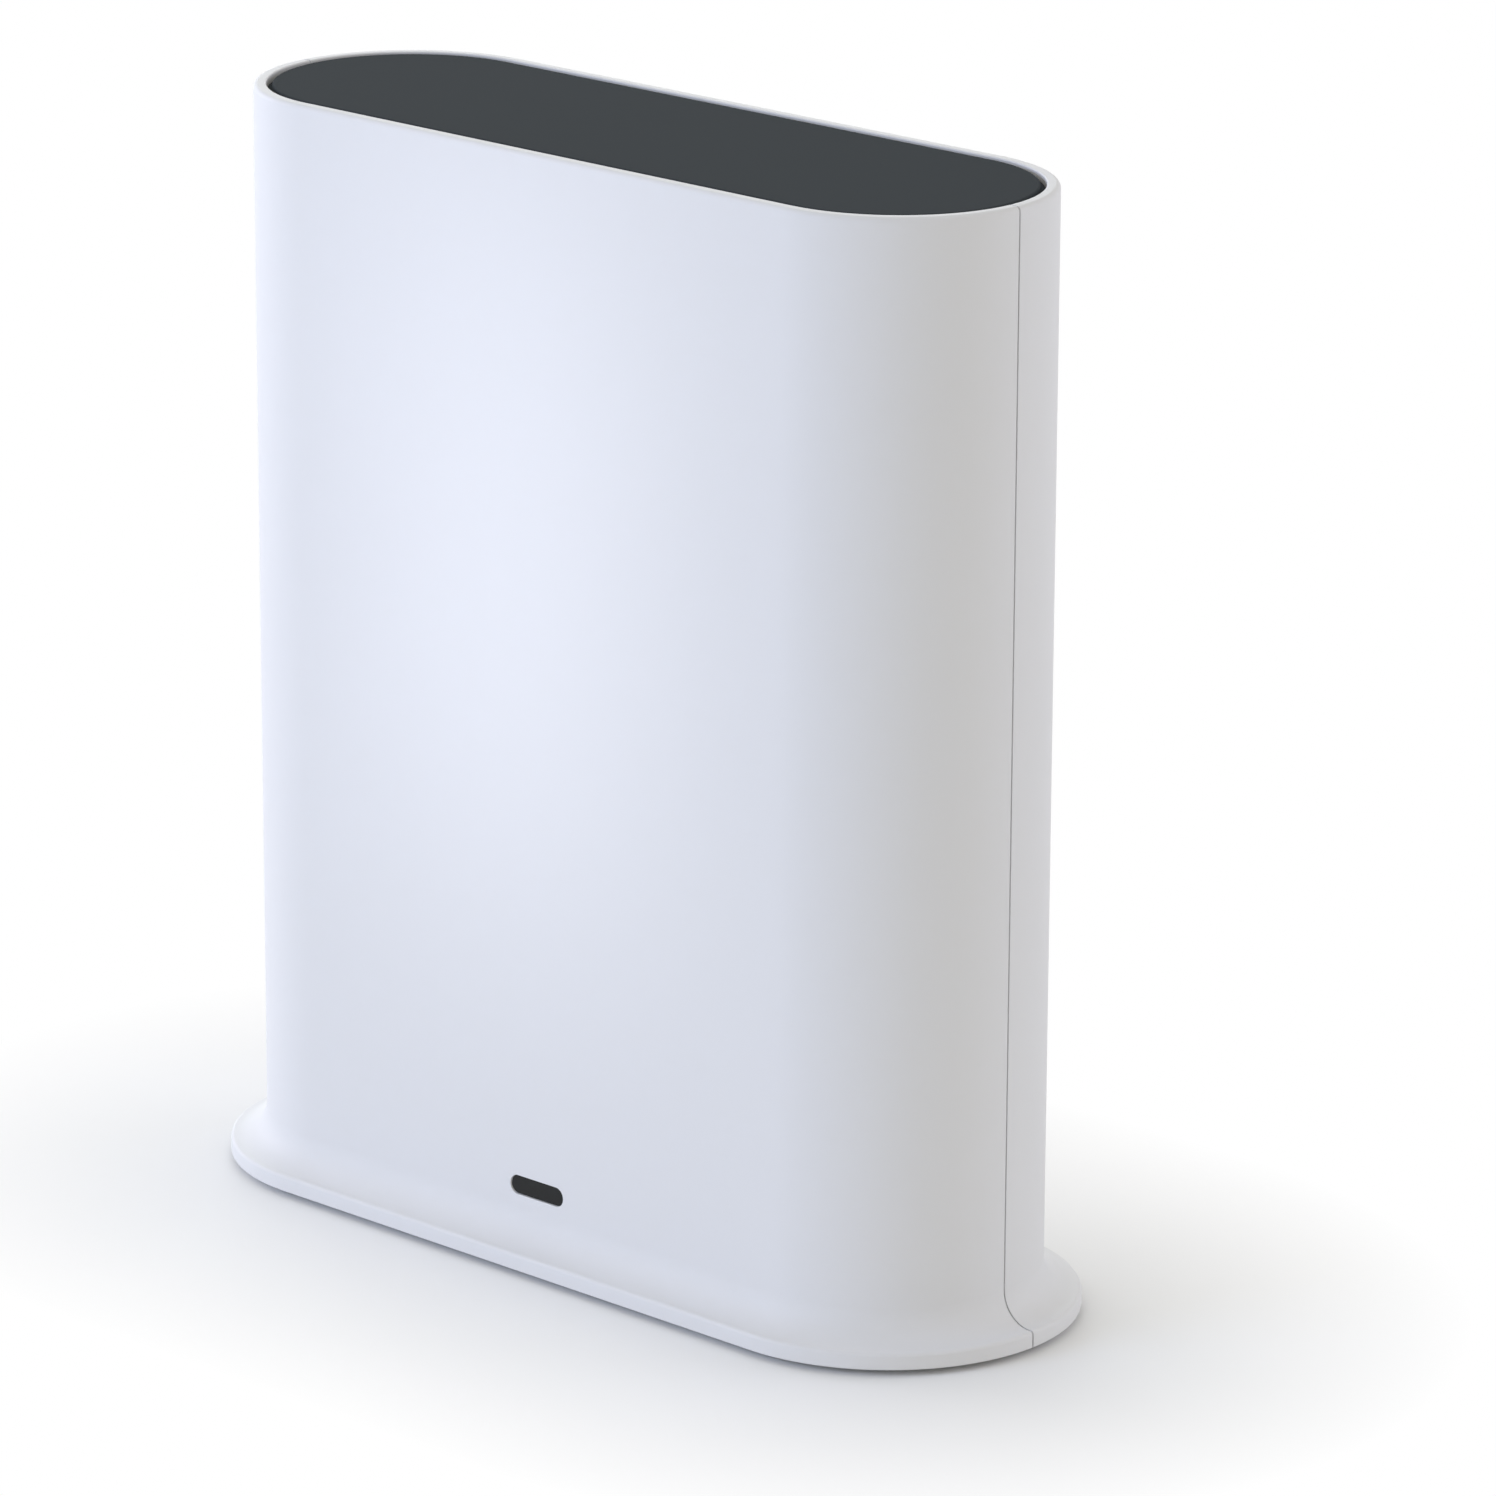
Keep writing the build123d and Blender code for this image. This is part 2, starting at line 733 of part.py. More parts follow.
board_rear = Plane(origin=(0, board_back, 0), x_dir=(-1, 0, 0), z_dir=(0, 1, 0))
with BuildPart(board_rear) as heat_sink_screws:
    with Locations(*[(-x, z) for x, z in sink_leg_places]):
        add(screw_part(sink_screw_length))
heat_sink_screws.part.label = "heat_sink_screws"
export_step(heat_sink_screws.part, "parts/heat_sink_screws.step")

# Network socket: a folded metal shield round a moulded insert, with eight sprung
# contacts in slots along the insert's ceiling
shield_thickness = 0.25
plug_width = 11.9
plug_height = 6.9
plug_depth = 12.2
latch_width = 6.4
latch_height = 1.6
key_width = 4.0
key_height = 1.6
contact_count = 8
contact_pitch = 1.02
contact_width = 0.4
contact_thickness = 0.3
contact_slot_height = 0.8
contact_mouth_gap = 1.6
contact_bend = 0.6
contact_reach = 7.5
contact_dip = 2.6

opening_height = plug_height + latch_height + key_height
ceiling = port_height + opening_height / 2
plug_middle = ceiling - plug_height / 2
latch_middle = ceiling - plug_height - latch_height / 2
key_middle = ceiling - plug_height - latch_height - key_height / 2
insert_face = port_face - shield_thickness - fit_clearance
insert_margin = 2 * (shield_thickness + fit_clearance)
contact_level = ceiling + contact_slot_height / 2
contact_turn = insert_face - contact_mouth_gap


def plug_opening():
    """The shape that a network plug goes into, with the steps for its latch."""
    with Locations((ethernet_x, plug_middle)):
        Rectangle(plug_width, plug_height)
    with Locations((ethernet_x, latch_middle)):
        Rectangle(latch_width, latch_height)
    with Locations((ethernet_x, key_middle)):
        Rectangle(key_width, key_height)


with BuildPart() as ethernet_shield:
    with BuildSketch(Plane.XZ.offset(-board_back)):
        with Locations((ethernet_x, port_height)):
            Rectangle(ethernet_width, ethernet_height)
    extrude(amount=-socket_depth)
    with BuildSketch(Plane.XZ.offset(-board_back)):
        with Locations((ethernet_x, port_height)):
            Rectangle(
                ethernet_width - 2 * shield_thickness,
                ethernet_height - 2 * shield_thickness,
            )
    extrude(amount=shield_thickness - socket_depth, mode=Mode.SUBTRACT)
    with BuildSketch(Plane.XZ.offset(-board_back)):
        plug_opening()
    extrude(amount=-socket_depth, mode=Mode.SUBTRACT)
ethernet_shield.part.label = "ethernet_shield"
export_step(ethernet_shield.part, "parts/ethernet_shield.step")

with BuildPart() as ethernet_insert:
    with BuildSketch(Plane.XZ.offset(-board_back)):
        with Locations((ethernet_x, port_height)):
            Rectangle(ethernet_width - insert_margin, ethernet_height - insert_margin)
    extrude(amount=board_back - insert_face)
    with BuildSketch(Plane.XZ.offset(-insert_face)):
        plug_opening()
    extrude(amount=plug_depth, mode=Mode.SUBTRACT)
    with BuildSketch(Plane.XZ.offset(-board_back)):
        with Locations((ethernet_x, contact_level)):
            with GridLocations(contact_pitch, 0, contact_count, 1):
                Rectangle(contact_width + 2 * fit_clearance, contact_slot_height)
    extrude(amount=board_back - contact_turn - contact_thickness, mode=Mode.SUBTRACT)
ethernet_insert.part.label = "ethernet_insert"
export_step(ethernet_insert.part, "parts/ethernet_insert.step")

contact_planes = [
    Plane.YZ.offset(ethernet_x + (n - (contact_count - 1) / 2) * contact_pitch - contact_width / 2)
    for n in range(contact_count)
]
with BuildPart() as ethernet_contacts:
    with BuildSketch(*contact_planes):
        with BuildLine():
            Polyline(
                (board_back, contact_level),
                (contact_turn, contact_level),
                (contact_turn, contact_level - contact_bend),
                (contact_turn - contact_reach, contact_level - contact_dip),
            )
        trace(line_width=contact_thickness)
    extrude(amount=contact_width)
ethernet_contacts.part.label = "ethernet_contacts"
export_step(ethernet_contacts.part, "parts/ethernet_contacts.step")

# Data socket: a folded metal shell round a moulded block with a tongue, and four
# flat contacts on the tongue
usb_shell_thickness = 0.3
usb_block_depth = 5.0
tongue_width = 11.0
tongue_thickness = 1.9
tongue_setback = 1.2
tongue_offset = 0.85
pad_contact_width = 1.0
pad_contact_thickness = 0.2
pad_contact_length = 7.0
pad_contact_pitch = 2.3
pad_contact_count = 4

usb_bore_width = usb_width - 2 * usb_shell_thickness
usb_bore_height = usb_height - 2 * usb_shell_thickness
tongue_z = port_height + tongue_offset
tongue_face = port_face - tongue_setback

with BuildPart() as usb_shell:
    with BuildSketch(Plane.XZ.offset(-board_back)):
        with Locations((usb_x, port_height)):
            Rectangle(usb_width, usb_height)
            Rectangle(usb_bore_width, usb_bore_height, mode=Mode.SUBTRACT)
    extrude(amount=-socket_depth)
usb_shell.part.label = "usb_shell"
export_step(usb_shell.part, "parts/usb_shell.step")

with BuildPart() as usb_insert:
    with BuildSketch(Plane.XZ.offset(-board_back)):
        with Locations((usb_x, port_height)):
            Rectangle(
                usb_bore_width - 2 * fit_clearance,
                usb_bore_height - 2 * fit_clearance,
            )
    extrude(amount=-usb_block_depth)
    with BuildSketch(Plane.XZ.offset(-board_back)):
        with Locations((usb_x, tongue_z)):
            Rectangle(tongue_width, tongue_thickness)
    extrude(amount=board_back - tongue_face)
usb_insert.part.label = "usb_insert"
export_step(usb_insert.part, "parts/usb_insert.step")

with BuildPart() as usb_contacts:
    with BuildSketch(Plane.XZ.offset(-(board_back + usb_block_depth))):
        with Locations((usb_x, tongue_z - tongue_thickness / 2 - pad_contact_thickness / 2)):
            with GridLocations(pad_contact_pitch, 0, pad_contact_count, 1):
                Rectangle(pad_contact_width, pad_contact_thickness)
    extrude(amount=-pad_contact_length)
usb_contacts.part.label = "usb_contacts"
export_step(usb_contacts.part, "parts/usb_contacts.step")

# Power socket: a moulded body with a round bore, its centre pin, and a leaf contact
# in a slot beside the bore
jack_bore_radius = 3.15
jack_bore_depth = 9.5
jack_nose_length = 3.0
jack_pin_radius = 1.0
jack_pin_root = 3.0
jack_pin_root_radius = 1.4
jack_pin_setback = 0.6
leaf_width = 1.8
leaf_thickness = 0.3
leaf_slot_height = 1.0

jack_floor = port_face - jack_bore_depth
leaf_level = port_height - jack_bore_radius - leaf_slot_height / 2

with BuildPart() as power_jack:
    with BuildSketch(Plane.XZ.offset(-board_back)):
        with Locations((jack_x, port_height)):
            Rectangle(jack_width, jack_height)
    extrude(amount=jack_nose_length - socket_depth)
    with BuildSketch(Plane.XZ.offset(-board_back)):
        with Locations((jack_x, port_height)):
            Circle(jack_nose_radius)
    extrude(amount=-socket_depth)
    with BuildSketch(Plane.XZ.offset(-jack_floor)):
        with Locations((jack_x, port_height)):
            Circle(jack_bore_radius)
    extrude(amount=-jack_bore_depth, mode=Mode.SUBTRACT)
    with BuildSketch(Plane.XZ.offset(-(jack_floor - jack_pin_root))):
        with Locations((jack_x, port_height)):
            Circle(jack_pin_root_radius + fit_clearance)
    extrude(amount=-jack_pin_root, mode=Mode.SUBTRACT)
    with BuildSketch(Plane.XZ.offset(-board_back)):
        with Locations((jack_x, port_height - jack_bore_radius)):
            Rectangle(
                leaf_width + 2 * fit_clearance,
                2 * leaf_slot_height,
            )
    extrude(amount=jack_nose_length - socket_depth, mode=Mode.SUBTRACT)
power_jack.part.label = "power_jack"
export_step(power_jack.part, "parts/power_jack.step")

with BuildPart() as power_jack_pin:
    with BuildSketch(Plane.XZ.offset(-(jack_floor - jack_pin_root))):
        with Locations((jack_x, port_height)):
            Circle(jack_pin_root_radius)
    extrude(amount=-jack_pin_root)
    with BuildSketch(Plane.XZ.offset(-jack_floor)):
        with Locations((jack_x, port_height)):
            Circle(jack_pin_radius)
    extrude(amount=jack_pin_setback - jack_bore_depth)
    chamfer(edges().group_by(Axis.Y)[-1], jack_pin_radius / 2)
power_jack_pin.part.label = "power_jack_pin"
export_step(power_jack_pin.part, "parts/power_jack_pin.step")

with BuildPart() as power_jack_contact:
    with BuildSketch(Plane.XZ.offset(-board_back)):
        with Locations((jack_x, leaf_level)):
            Rectangle(leaf_width, leaf_thickness)
    extrude(amount=jack_nose_length + free_clearance - socket_depth)
power_jack_contact.part.label = "power_jack_contact"
export_step(power_jack_contact.part, "parts/power_jack_contact.step")

# Push switches: a low square body with a bore that its stem slides in
def switch_body_part(x, z, travel):
    """The body of a push switch on the rear of the board."""
    with BuildPart() as body:
        with BuildSketch(Plane.XZ.offset(-board_back)):
            with Locations((x, z)):
                Rectangle(switch_width, switch_width)
        extrude(amount=-switch_height)
        with BuildSketch(Plane.XZ.offset(-switch_top)):
            with Locations((x, z)):
                Circle(stem_radius + fit_clearance)
        extrude(amount=stem_depth + travel + stem_end_room, mode=Mode.SUBTRACT)
    return body.part


def switch_stem_part(x, z):
    """The stem of a push switch, standing out of its body."""
    with BuildPart() as stem:
        with BuildSketch(Plane.XZ.offset(-(switch_top - stem_depth))):
            with Locations((x, z)):
                Circle(stem_radius)
        extrude(amount=-(stem_depth + stem_proud))
    return stem.part


sync_switch = switch_body_part(button_x, button_z, button_travel)
sync_switch.label = "sync_switch"
export_step(sync_switch, "parts/sync_switch.step")

sync_switch_stem = switch_stem_part(button_x, button_z)
sync_switch_stem.label = "sync_switch_stem"
export_step(sync_switch_stem, "parts/sync_switch_stem.step")

reset_switch = switch_body_part(reset_x, reset_z, reset_travel)
reset_switch.label = "reset_switch"
export_step(reset_switch, "parts/reset_switch.step")

reset_switch_stem = switch_stem_part(reset_x, reset_z)
reset_switch_stem.label = "reset_switch_stem"
export_step(reset_switch_stem, "parts/reset_switch_stem.step")

# Sync button: a round cap with a flange inside the wall and a plunger to its switch
flange_front = inner_face - button_rest_gap - button_flange_thickness
plunger_end = stem_top + stem_gap

with BuildPart() as sync_button:
    with BuildSketch(Plane.XZ.offset(-flange_front)):
        with Locations((button_x, button_z)):
            Circle(button_radius)
    extrude(amount=flange_front - outer_face - button_proud)
    chamfer(edges().group_by(Axis.Y)[-1], button_edge)
    with BuildSketch(Plane.XZ.offset(-flange_front)):
        with Locations((button_x, button_z)):
            Circle(flange_radius)
    extrude(amount=-button_flange_thickness)
    with BuildSketch(Plane.XZ.offset(-plunger_end)):
        with Locations((button_x, button_z)):
            Rectangle(plunger_width, plunger_web)
            Rectangle(plunger_web, plunger_width)
    extrude(amount=plunger_end - flange_front)
sync_button.part.label = "sync_button"
export_step(sync_button.part, "parts/sync_button.step")

# Aerials at the ends of the housing: narrow circuit strips held by the rear half
for name, side in (("aerial_left", -1), ("aerial_right", 1)):
    with BuildPart() as end_aerial:
        with BuildSketch(Plane.XY.offset(aerial_low)):
            with Locations((side * aerial_x, aerial_front)):
                Rectangle(aerial_thickness, aerial_depth, align=(Align.CENTER, Align.MIN))
        extrude(amount=aerial_height)
    end_aerial.part.label = name
    export_step(end_aerial.part, "parts/" + name + ".step")

# Aerial carrier: a moulded plate above the board, with a stamped aerial on its front
stamping_thickness = 0.3
stamping_width = 60.0
stamping_height = 14.0
stamping_arm = 3.0
stamping_feed = 18.0

carrier_front = carrier_back - carrier_thickness
stamping_front = carrier_front - stamping_thickness
stamping_top = carrier_middle + stamping_height / 2
stamping_bottom = carrier_middle - stamping_height / 2

with BuildPart() as aerial_carrier:
    with BuildSketch(Plane.XZ.offset(-carrier_back)):
        with Locations((0, carrier_middle)):
            Rectangle(carrier_width, carrier_height)
        with Locations(*carrier_screw_places):
            RegularPolygon(board_hole_radius, round_sides, mode=Mode.SUBTRACT)
    extrude(amount=carrier_thickness)
aerial_carrier.part.label = "aerial_carrier"
export_step(aerial_carrier.part, "parts/aerial_carrier.step")

with BuildPart() as aerial_top:
    with BuildSketch(Plane.XZ.offset(-carrier_front)):
        with Locations((0, stamping_top - stamping_arm / 2)):
            Rectangle(stamping_width, stamping_arm)
        with Locations((0, stamping_bottom + stamping_arm / 2)):
            Rectangle(stamping_feed, stamping_arm)
        with Locations((0, carrier_middle)):
            Rectangle(stamping_arm, stamping_height)
    extrude(amount=stamping_thickness)
aerial_top.part.label = "aerial_top"
export_step(aerial_top.part, "parts/aerial_top.step")

with BuildPart(Plane.XZ.offset(-carrier_front)) as carrier_screws:
    with Locations(*carrier_screw_places):
        add(screw_part(screw_length))
carrier_screws.part.label = "carrier_screws"
export_step(carrier_screws.part, "parts/carrier_screws.step")

# Coaxial leads from the aerials to three small connectors on the board
lead_radius = 0.6
lead_sides = 4
lead_bend = 2.0
lead_rise = 9.0
lead_lap = 3.0
lead_slope = 3.0
connector_width = 2.6
connector_height = 1.3
connector_inset = 9.0
connector_drop = 6.0

connector_x = board_width / 2 - connector_inset
lead_y = board_front - connector_height / 2
end_connector_z = (aerial_low + aerial_high) / 2
lead_start_z = end_connector_z - lead_rise
lead_turn_x = (aerial_x - aerial_thickness / 2 + board_width / 2) / 2
top_connector_z = board_top - connector_drop
top_lead_y = stamping_front - lead_radius - fit_clearance
connector_places = [
    (-connector_x, end_connector_z),
    (connector_x, end_connector_z),
    (0, top_connector_z),
]

with BuildPart() as aerial_connectors:
    with BuildSketch(Plane.XZ.offset(-board_front)):
        with Locations(*connector_places):
            Rectangle(connector_width, connector_width)
    extrude(amount=connector_height)
aerial_connectors.part.label = "aerial_connectors"
export_step(aerial_connectors.part, "parts/aerial_connectors.step")

lead_routes = [
    [
        (side * (aerial_x - aerial_thickness / 2), lead_y, lead_start_z),
        (side * lead_turn_x, lead_y, lead_start_z),
        (side * lead_turn_x, lead_y, end_connector_z),
        (side * (connector_x + connector_width / 2), lead_y, end_connector_z),
    ]
    for side in (-1, 1)
]
lead_routes.append(
    [
        (0, top_lead_y, stamping_bottom + lead_lap),
        (0, top_lead_y, board_top + 2 * lead_slope),
        (0, lead_y, board_top + lead_slope),
        (0, lead_y, top_connector_z + connector_width / 2),
    ]
)
with BuildPart() as aerial_leads:
    for route in lead_routes:
        with BuildLine() as lead_path:
            FilletPolyline(*route, radius=lead_bend)
        with BuildSketch(Plane(origin=lead_path.line @ 0, z_dir=lead_path.line % 0)):
            RegularPolygon(lead_radius, lead_sides)
        sweep(path=lead_path.line)
aerial_leads.part.label = "aerial_leads"
export_step(aerial_leads.part, "parts/aerial_leads.step")
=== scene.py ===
import json
import math
import bmesh
import bpy
from bmesh.types import BMEdge, BMVert
from mathutils import Euler, Matrix, Vector


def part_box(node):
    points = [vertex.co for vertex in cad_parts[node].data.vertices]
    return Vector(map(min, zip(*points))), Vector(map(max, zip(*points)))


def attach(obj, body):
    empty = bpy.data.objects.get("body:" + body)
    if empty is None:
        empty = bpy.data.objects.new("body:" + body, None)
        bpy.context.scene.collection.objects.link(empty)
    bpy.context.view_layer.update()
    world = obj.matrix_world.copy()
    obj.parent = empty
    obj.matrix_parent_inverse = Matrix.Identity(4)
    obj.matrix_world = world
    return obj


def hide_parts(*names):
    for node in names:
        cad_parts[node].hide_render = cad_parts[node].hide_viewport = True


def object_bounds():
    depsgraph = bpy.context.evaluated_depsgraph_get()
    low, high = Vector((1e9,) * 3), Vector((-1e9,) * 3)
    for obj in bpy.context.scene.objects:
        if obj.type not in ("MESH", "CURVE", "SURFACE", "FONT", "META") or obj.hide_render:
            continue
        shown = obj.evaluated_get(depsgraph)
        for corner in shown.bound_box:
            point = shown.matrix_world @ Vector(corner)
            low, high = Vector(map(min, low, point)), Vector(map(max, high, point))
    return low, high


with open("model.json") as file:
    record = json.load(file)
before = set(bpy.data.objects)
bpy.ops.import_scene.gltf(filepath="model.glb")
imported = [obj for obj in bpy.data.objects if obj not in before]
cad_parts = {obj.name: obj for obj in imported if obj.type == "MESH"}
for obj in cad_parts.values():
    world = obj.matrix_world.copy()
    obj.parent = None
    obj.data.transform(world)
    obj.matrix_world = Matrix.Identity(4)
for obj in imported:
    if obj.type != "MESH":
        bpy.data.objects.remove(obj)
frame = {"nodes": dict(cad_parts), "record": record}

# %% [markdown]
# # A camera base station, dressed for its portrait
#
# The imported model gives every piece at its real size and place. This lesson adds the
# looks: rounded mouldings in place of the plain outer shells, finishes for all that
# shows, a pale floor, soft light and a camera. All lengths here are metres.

cad_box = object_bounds()
print("model box:", [[round(v, 4) for v in corner] for corner in cad_box])

# %% [markdown]
# ## Sizes that the shells share
#
# The housing is a moulded clamshell on a stadium plan: two half-circles joined by
# straight runs. Its numbers come from the frame itself, so the new shells stand exactly
# where the plain ones do. Only the wall's own thicknesses and small radii are written
# here.

# %% Shared sizes
MM = 0.001
front_low, front_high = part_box("front_cover")
rear_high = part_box("rear_cover")[1]
TOP = front_high.z
FOOT = front_low.z
REACH = 5.7 * MM  # how far the skirt stands out from the wall
HALF_WIDTH = front_high.x - REACH
HALF_DEPTH = rear_high.y - REACH
RUN = HALF_WIDTH - HALF_DEPTH  # half of the straight run between the round ends
SEAM = 0.15 * MM  # half of the gap at the parting line
WALL = 2.2 * MM
INNER = HALF_DEPTH - WALL
SUNK = HALF_DEPTH - WALL / 2  # a fitting that ends here is buried in the wall
HEAD = 2.5 * MM  # radius of a screw's head
print("half width", round(HALF_WIDTH, 5), "half depth", round(HALF_DEPTH, 5), "top", round(TOP, 5))


# %% [markdown]
# ## A helper for finished meshes
#
# Every piece ends the same way: its bmesh becomes an object at the origin, with the
# place in the mesh, shaded smooth except over sharp edges. Doubles are merged and the
# normals are recalculated first, because spin and mirror can turn faces inside out. A
# closed mesh has no open edges, so their number is printed too.

# %% Helper: close a bmesh into an object
MERGE = 1e-7


def only(kind, geometry):
    """The vertices or the edges in what a bmesh operator gave back."""
    return [item for item in geometry if isinstance(item, kind)]


def open_edges(bm):
    return sum(1 for edge in bm.edges if not edge.is_manifold)


def shade(mesh, angle):
    """Smooth shading, except over edges that turn by more than an angle in degrees."""
    mesh.shade_smooth()
    mesh.set_sharp_from_angle(angle=math.radians(angle))


def finished(bm, name):
    bmesh.ops.remove_doubles(bm, verts=bm.verts, dist=MERGE)
    bmesh.ops.recalc_face_normals(bm, faces=bm.faces)
    gaps = open_edges(bm)
    mesh = bpy.data.meshes.new(name)
    bm.to_mesh(mesh)
    bm.free()
    shade(mesh, 35)
    piece = bpy.data.objects.new(name, mesh)
    bpy.context.scene.collection.objects.link(piece)
    print(name, "faces", len(mesh.polygons), "open edges", gaps)
    return piece


# %% [markdown]
# ## Helpers for rounded prisms
#
# Windows, sockets, posts and buttons are all prisms with rounded corners. A circle whose
# points are pushed apart towards four corners gives any of them: a slot, a rounded
# rectangle, or a plain disc. It is drawn in its own plane, pulled to its depth, and then
# turned to face the rear, because that is where most of them point.

# %% Helpers: a rounded prism and a round rod, along Y or along Z
SQUARE = 0.1 * MM  # the corner of a bar that is as good as square


def prism(bm, centre, size, corner, start, end, along="Y", segments=8):
    """Adds a prism. centre and size are across its axis; start and end are along it."""
    made = bmesh.ops.create_circle(bm, cap_ends=True, segments=segments, radius=corner)["verts"]
    bmesh.ops.rotate(bm, verts=made, matrix=Matrix.Rotation(math.pi / segments, 3, "Z"))
    for v in made:
        v.co.x += math.copysign(max(size[0] / 2 - corner, 0), v.co.x)
        v.co.y += math.copysign(max(size[1] / 2 - corner, 0), v.co.y)
    face = made[0].link_faces[0]
    raised = only(BMVert, bmesh.ops.extrude_face_region(bm, geom=[face])["geom"])
    bmesh.ops.translate(bm, verts=raised, vec=(0, 0, end - start))
    verts = made + raised
    if along == "Y":
        bmesh.ops.rotate(bm, verts=verts, matrix=Matrix.Rotation(-math.pi / 2, 3, "X"))
        bmesh.ops.scale(bm, verts=verts, vec=(1, 1, -1))
        bmesh.ops.translate(bm, verts=verts, vec=(centre[0], start, centre[1]))
    else:
        bmesh.ops.translate(bm, verts=verts, vec=(centre[0], centre[1], start))


def rod(bm, centre, diameter, start, end, segments, along="Y"):
    """Adds a round prism."""
    prism(bm, centre, (diameter, diameter), diameter / 2, start, end, along, segments)


# %% [markdown]
# ## The profile of the wall
#
# Cut the housing across and the wall shows one outline: the lip of the skirt, the hollow
# cove that rises from it, the tall wall, the rounded rim, the seat of the top panel and
# the inner face. Each point is a distance out from the wall's face and a height. Arcs
# are a few short steps, which smooth shading turns into a soft highlight.

# %% Helper: points on an arc
def arc(centre, radius, start, end, steps):
    """Points on an arc, from one angle to another in degrees."""
    turns = [math.radians(start + (end - start) * i / steps) for i in range(steps + 1)]
    return [(centre[0] + radius * math.cos(t), centre[1] + radius * math.sin(t)) for t in turns]


# %% Heights and insets of the profile
LIP_TOP = FOOT + 2.6 * MM
LIP_ROUND, LIP_FOOT_ROUND = 0.6 * MM, 0.25 * MM
COVE = 5.0 * MM
panel_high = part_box("top_panel")[1]
PANEL_INSET = HALF_DEPTH - panel_high.y
PANEL_SEAT = panel_high.z - 1.6 * MM
RIM = PANEL_INSET - 0.9 * MM
RIM_ROUND, RIM_INNER_ROUND = 0.8 * MM, 0.25 * MM
LEDGE_END = RIM + 2.2 * MM
LEDGE_BOTTOM = PANEL_SEAT - 1.5 * MM
BASE_SEAT = FOOT + 1.8 * MM
RECESS, RECESS_BREAK = 3.5 * MM, 0.15 * MM
BASE_LEDGE = 2.8 * MM
WALL_FOOT = BASE_SEAT + WALL + RECESS - BASE_LEDGE  # where the inner face starts
print("lip top", round(LIP_TOP, 5), "panel seat", round(PANEL_SEAT, 5), "rim", round(RIM, 5))

# %% Profile points
outside = [(RECESS + RECESS_BREAK, FOOT)]
outside += arc((REACH - LIP_FOOT_ROUND, FOOT + LIP_FOOT_ROUND), LIP_FOOT_ROUND, -90, 0, 4)
outside += arc((REACH - LIP_ROUND, LIP_TOP - LIP_ROUND), LIP_ROUND, 0, 90, 8)
outside += arc((COVE, LIP_TOP + COVE), COVE, -90, -180, 18)
outside += arc((-RIM_ROUND, TOP - RIM_ROUND), RIM_ROUND, 0, 90, 10)
inside = arc((-RIM + RIM_INNER_ROUND, TOP - RIM_INNER_ROUND), RIM_INNER_ROUND, 90, 180, 5)
inside += [(-RIM, PANEL_SEAT), (-LEDGE_END, PANEL_SEAT), (-LEDGE_END, LEDGE_BOTTOM)]
inside += [(-WALL, LEDGE_BOTTOM), (-WALL, WALL_FOOT)]
inside += [(RECESS - BASE_LEDGE, BASE_SEAT), (RECESS, BASE_SEAT), (RECESS, FOOT + RECESS_BREAK)]
print("profile points:", len(outside), "outside,", len(inside), "inside")


# %% [markdown]
# ## Sweeping a profile round the stadium
#
# A real half shell is one moulding. The same shape comes from three moves on the
# profile's edges: a spin round one end, an extrusion along the straight run, and a spin
# round the other end. The spin starts a hair past the parting plane, which leaves the
# thin gap that the real halves show. Both open ends are then filled. The tongue behind
# the parting line needs only a short spin at each end.

# %% Helpers: a closed ring of edges, and a spin of it
END_STEPS = 40


def closed_ring(bm, points, side, angle):
    """A ring of edges at one end of the stadium, turned by an angle from its tip."""
    ring = [bm.verts.new((side * (RUN + HALF_DEPTH + r), 0.0, z)) for r, z in points]
    turn = Matrix.Rotation(angle, 3, "Z")
    bmesh.ops.rotate(bm, verts=ring, cent=(side * RUN, 0, 0), matrix=turn)
    edges = [bm.edges.new(pair) for pair in zip(ring, ring[1:] + ring[:1])]
    bmesh.ops.contextual_create(bm, geom=edges)
    return edges


def spun(bm, edges, x, angle, steps):
    """Spins edges round the upright axis at x and gives the last ones back."""
    turned = bmesh.ops.spin(
        bm, geom=edges, cent=(x, 0, 0), axis=(0, 0, 1), angle=angle, steps=steps)
    return only(BMEdge, turned["geom_last"])


# %% Helpers: sweep a profile along half of the stadium, or round a short part of its ends
def sweep_half(bm, points, side, gap):
    """Sweeps closed profile points round the front (side -1) or the rear (side 1)."""
    start_angle = side * math.asin(gap / HALF_DEPTH)
    quarter = side * math.pi / 2 - start_angle
    edges = closed_ring(bm, points, 1, start_angle)
    last = spun(bm, edges, RUN, quarter, END_STEPS)
    run = bmesh.ops.extrude_edge_only(bm, edges=last)["geom"]
    bmesh.ops.translate(bm, verts=only(BMVert, run), vec=(-2 * RUN, 0, 0))
    last = spun(bm, only(BMEdge, run), -RUN, quarter, END_STEPS)
    bmesh.ops.contextual_create(bm, geom=last)


def sweep_ends(bm, points, from_y, to_y):
    """Sweeps closed profile points over a short arc across the parting plane, at both ends."""
    first, last = math.asin(from_y / HALF_DEPTH), math.asin(to_y / HALF_DEPTH)
    for side in (-1, 1):
        edges = closed_ring(bm, points, side, side * first)
        ended = spun(bm, edges, side * RUN, side * (last - first), 3)
        bmesh.ops.contextual_create(bm, geom=ended)


# %% [markdown]
# ## Joining, cutting and softening
#
# Posts and ribs are moulded in one with the wall, and the sockets' openings pass through
# it. Booleans make both: one joins the fittings, one cuts the openings. The edges round
# the openings then get a small bevel, found by their place on the outer face.

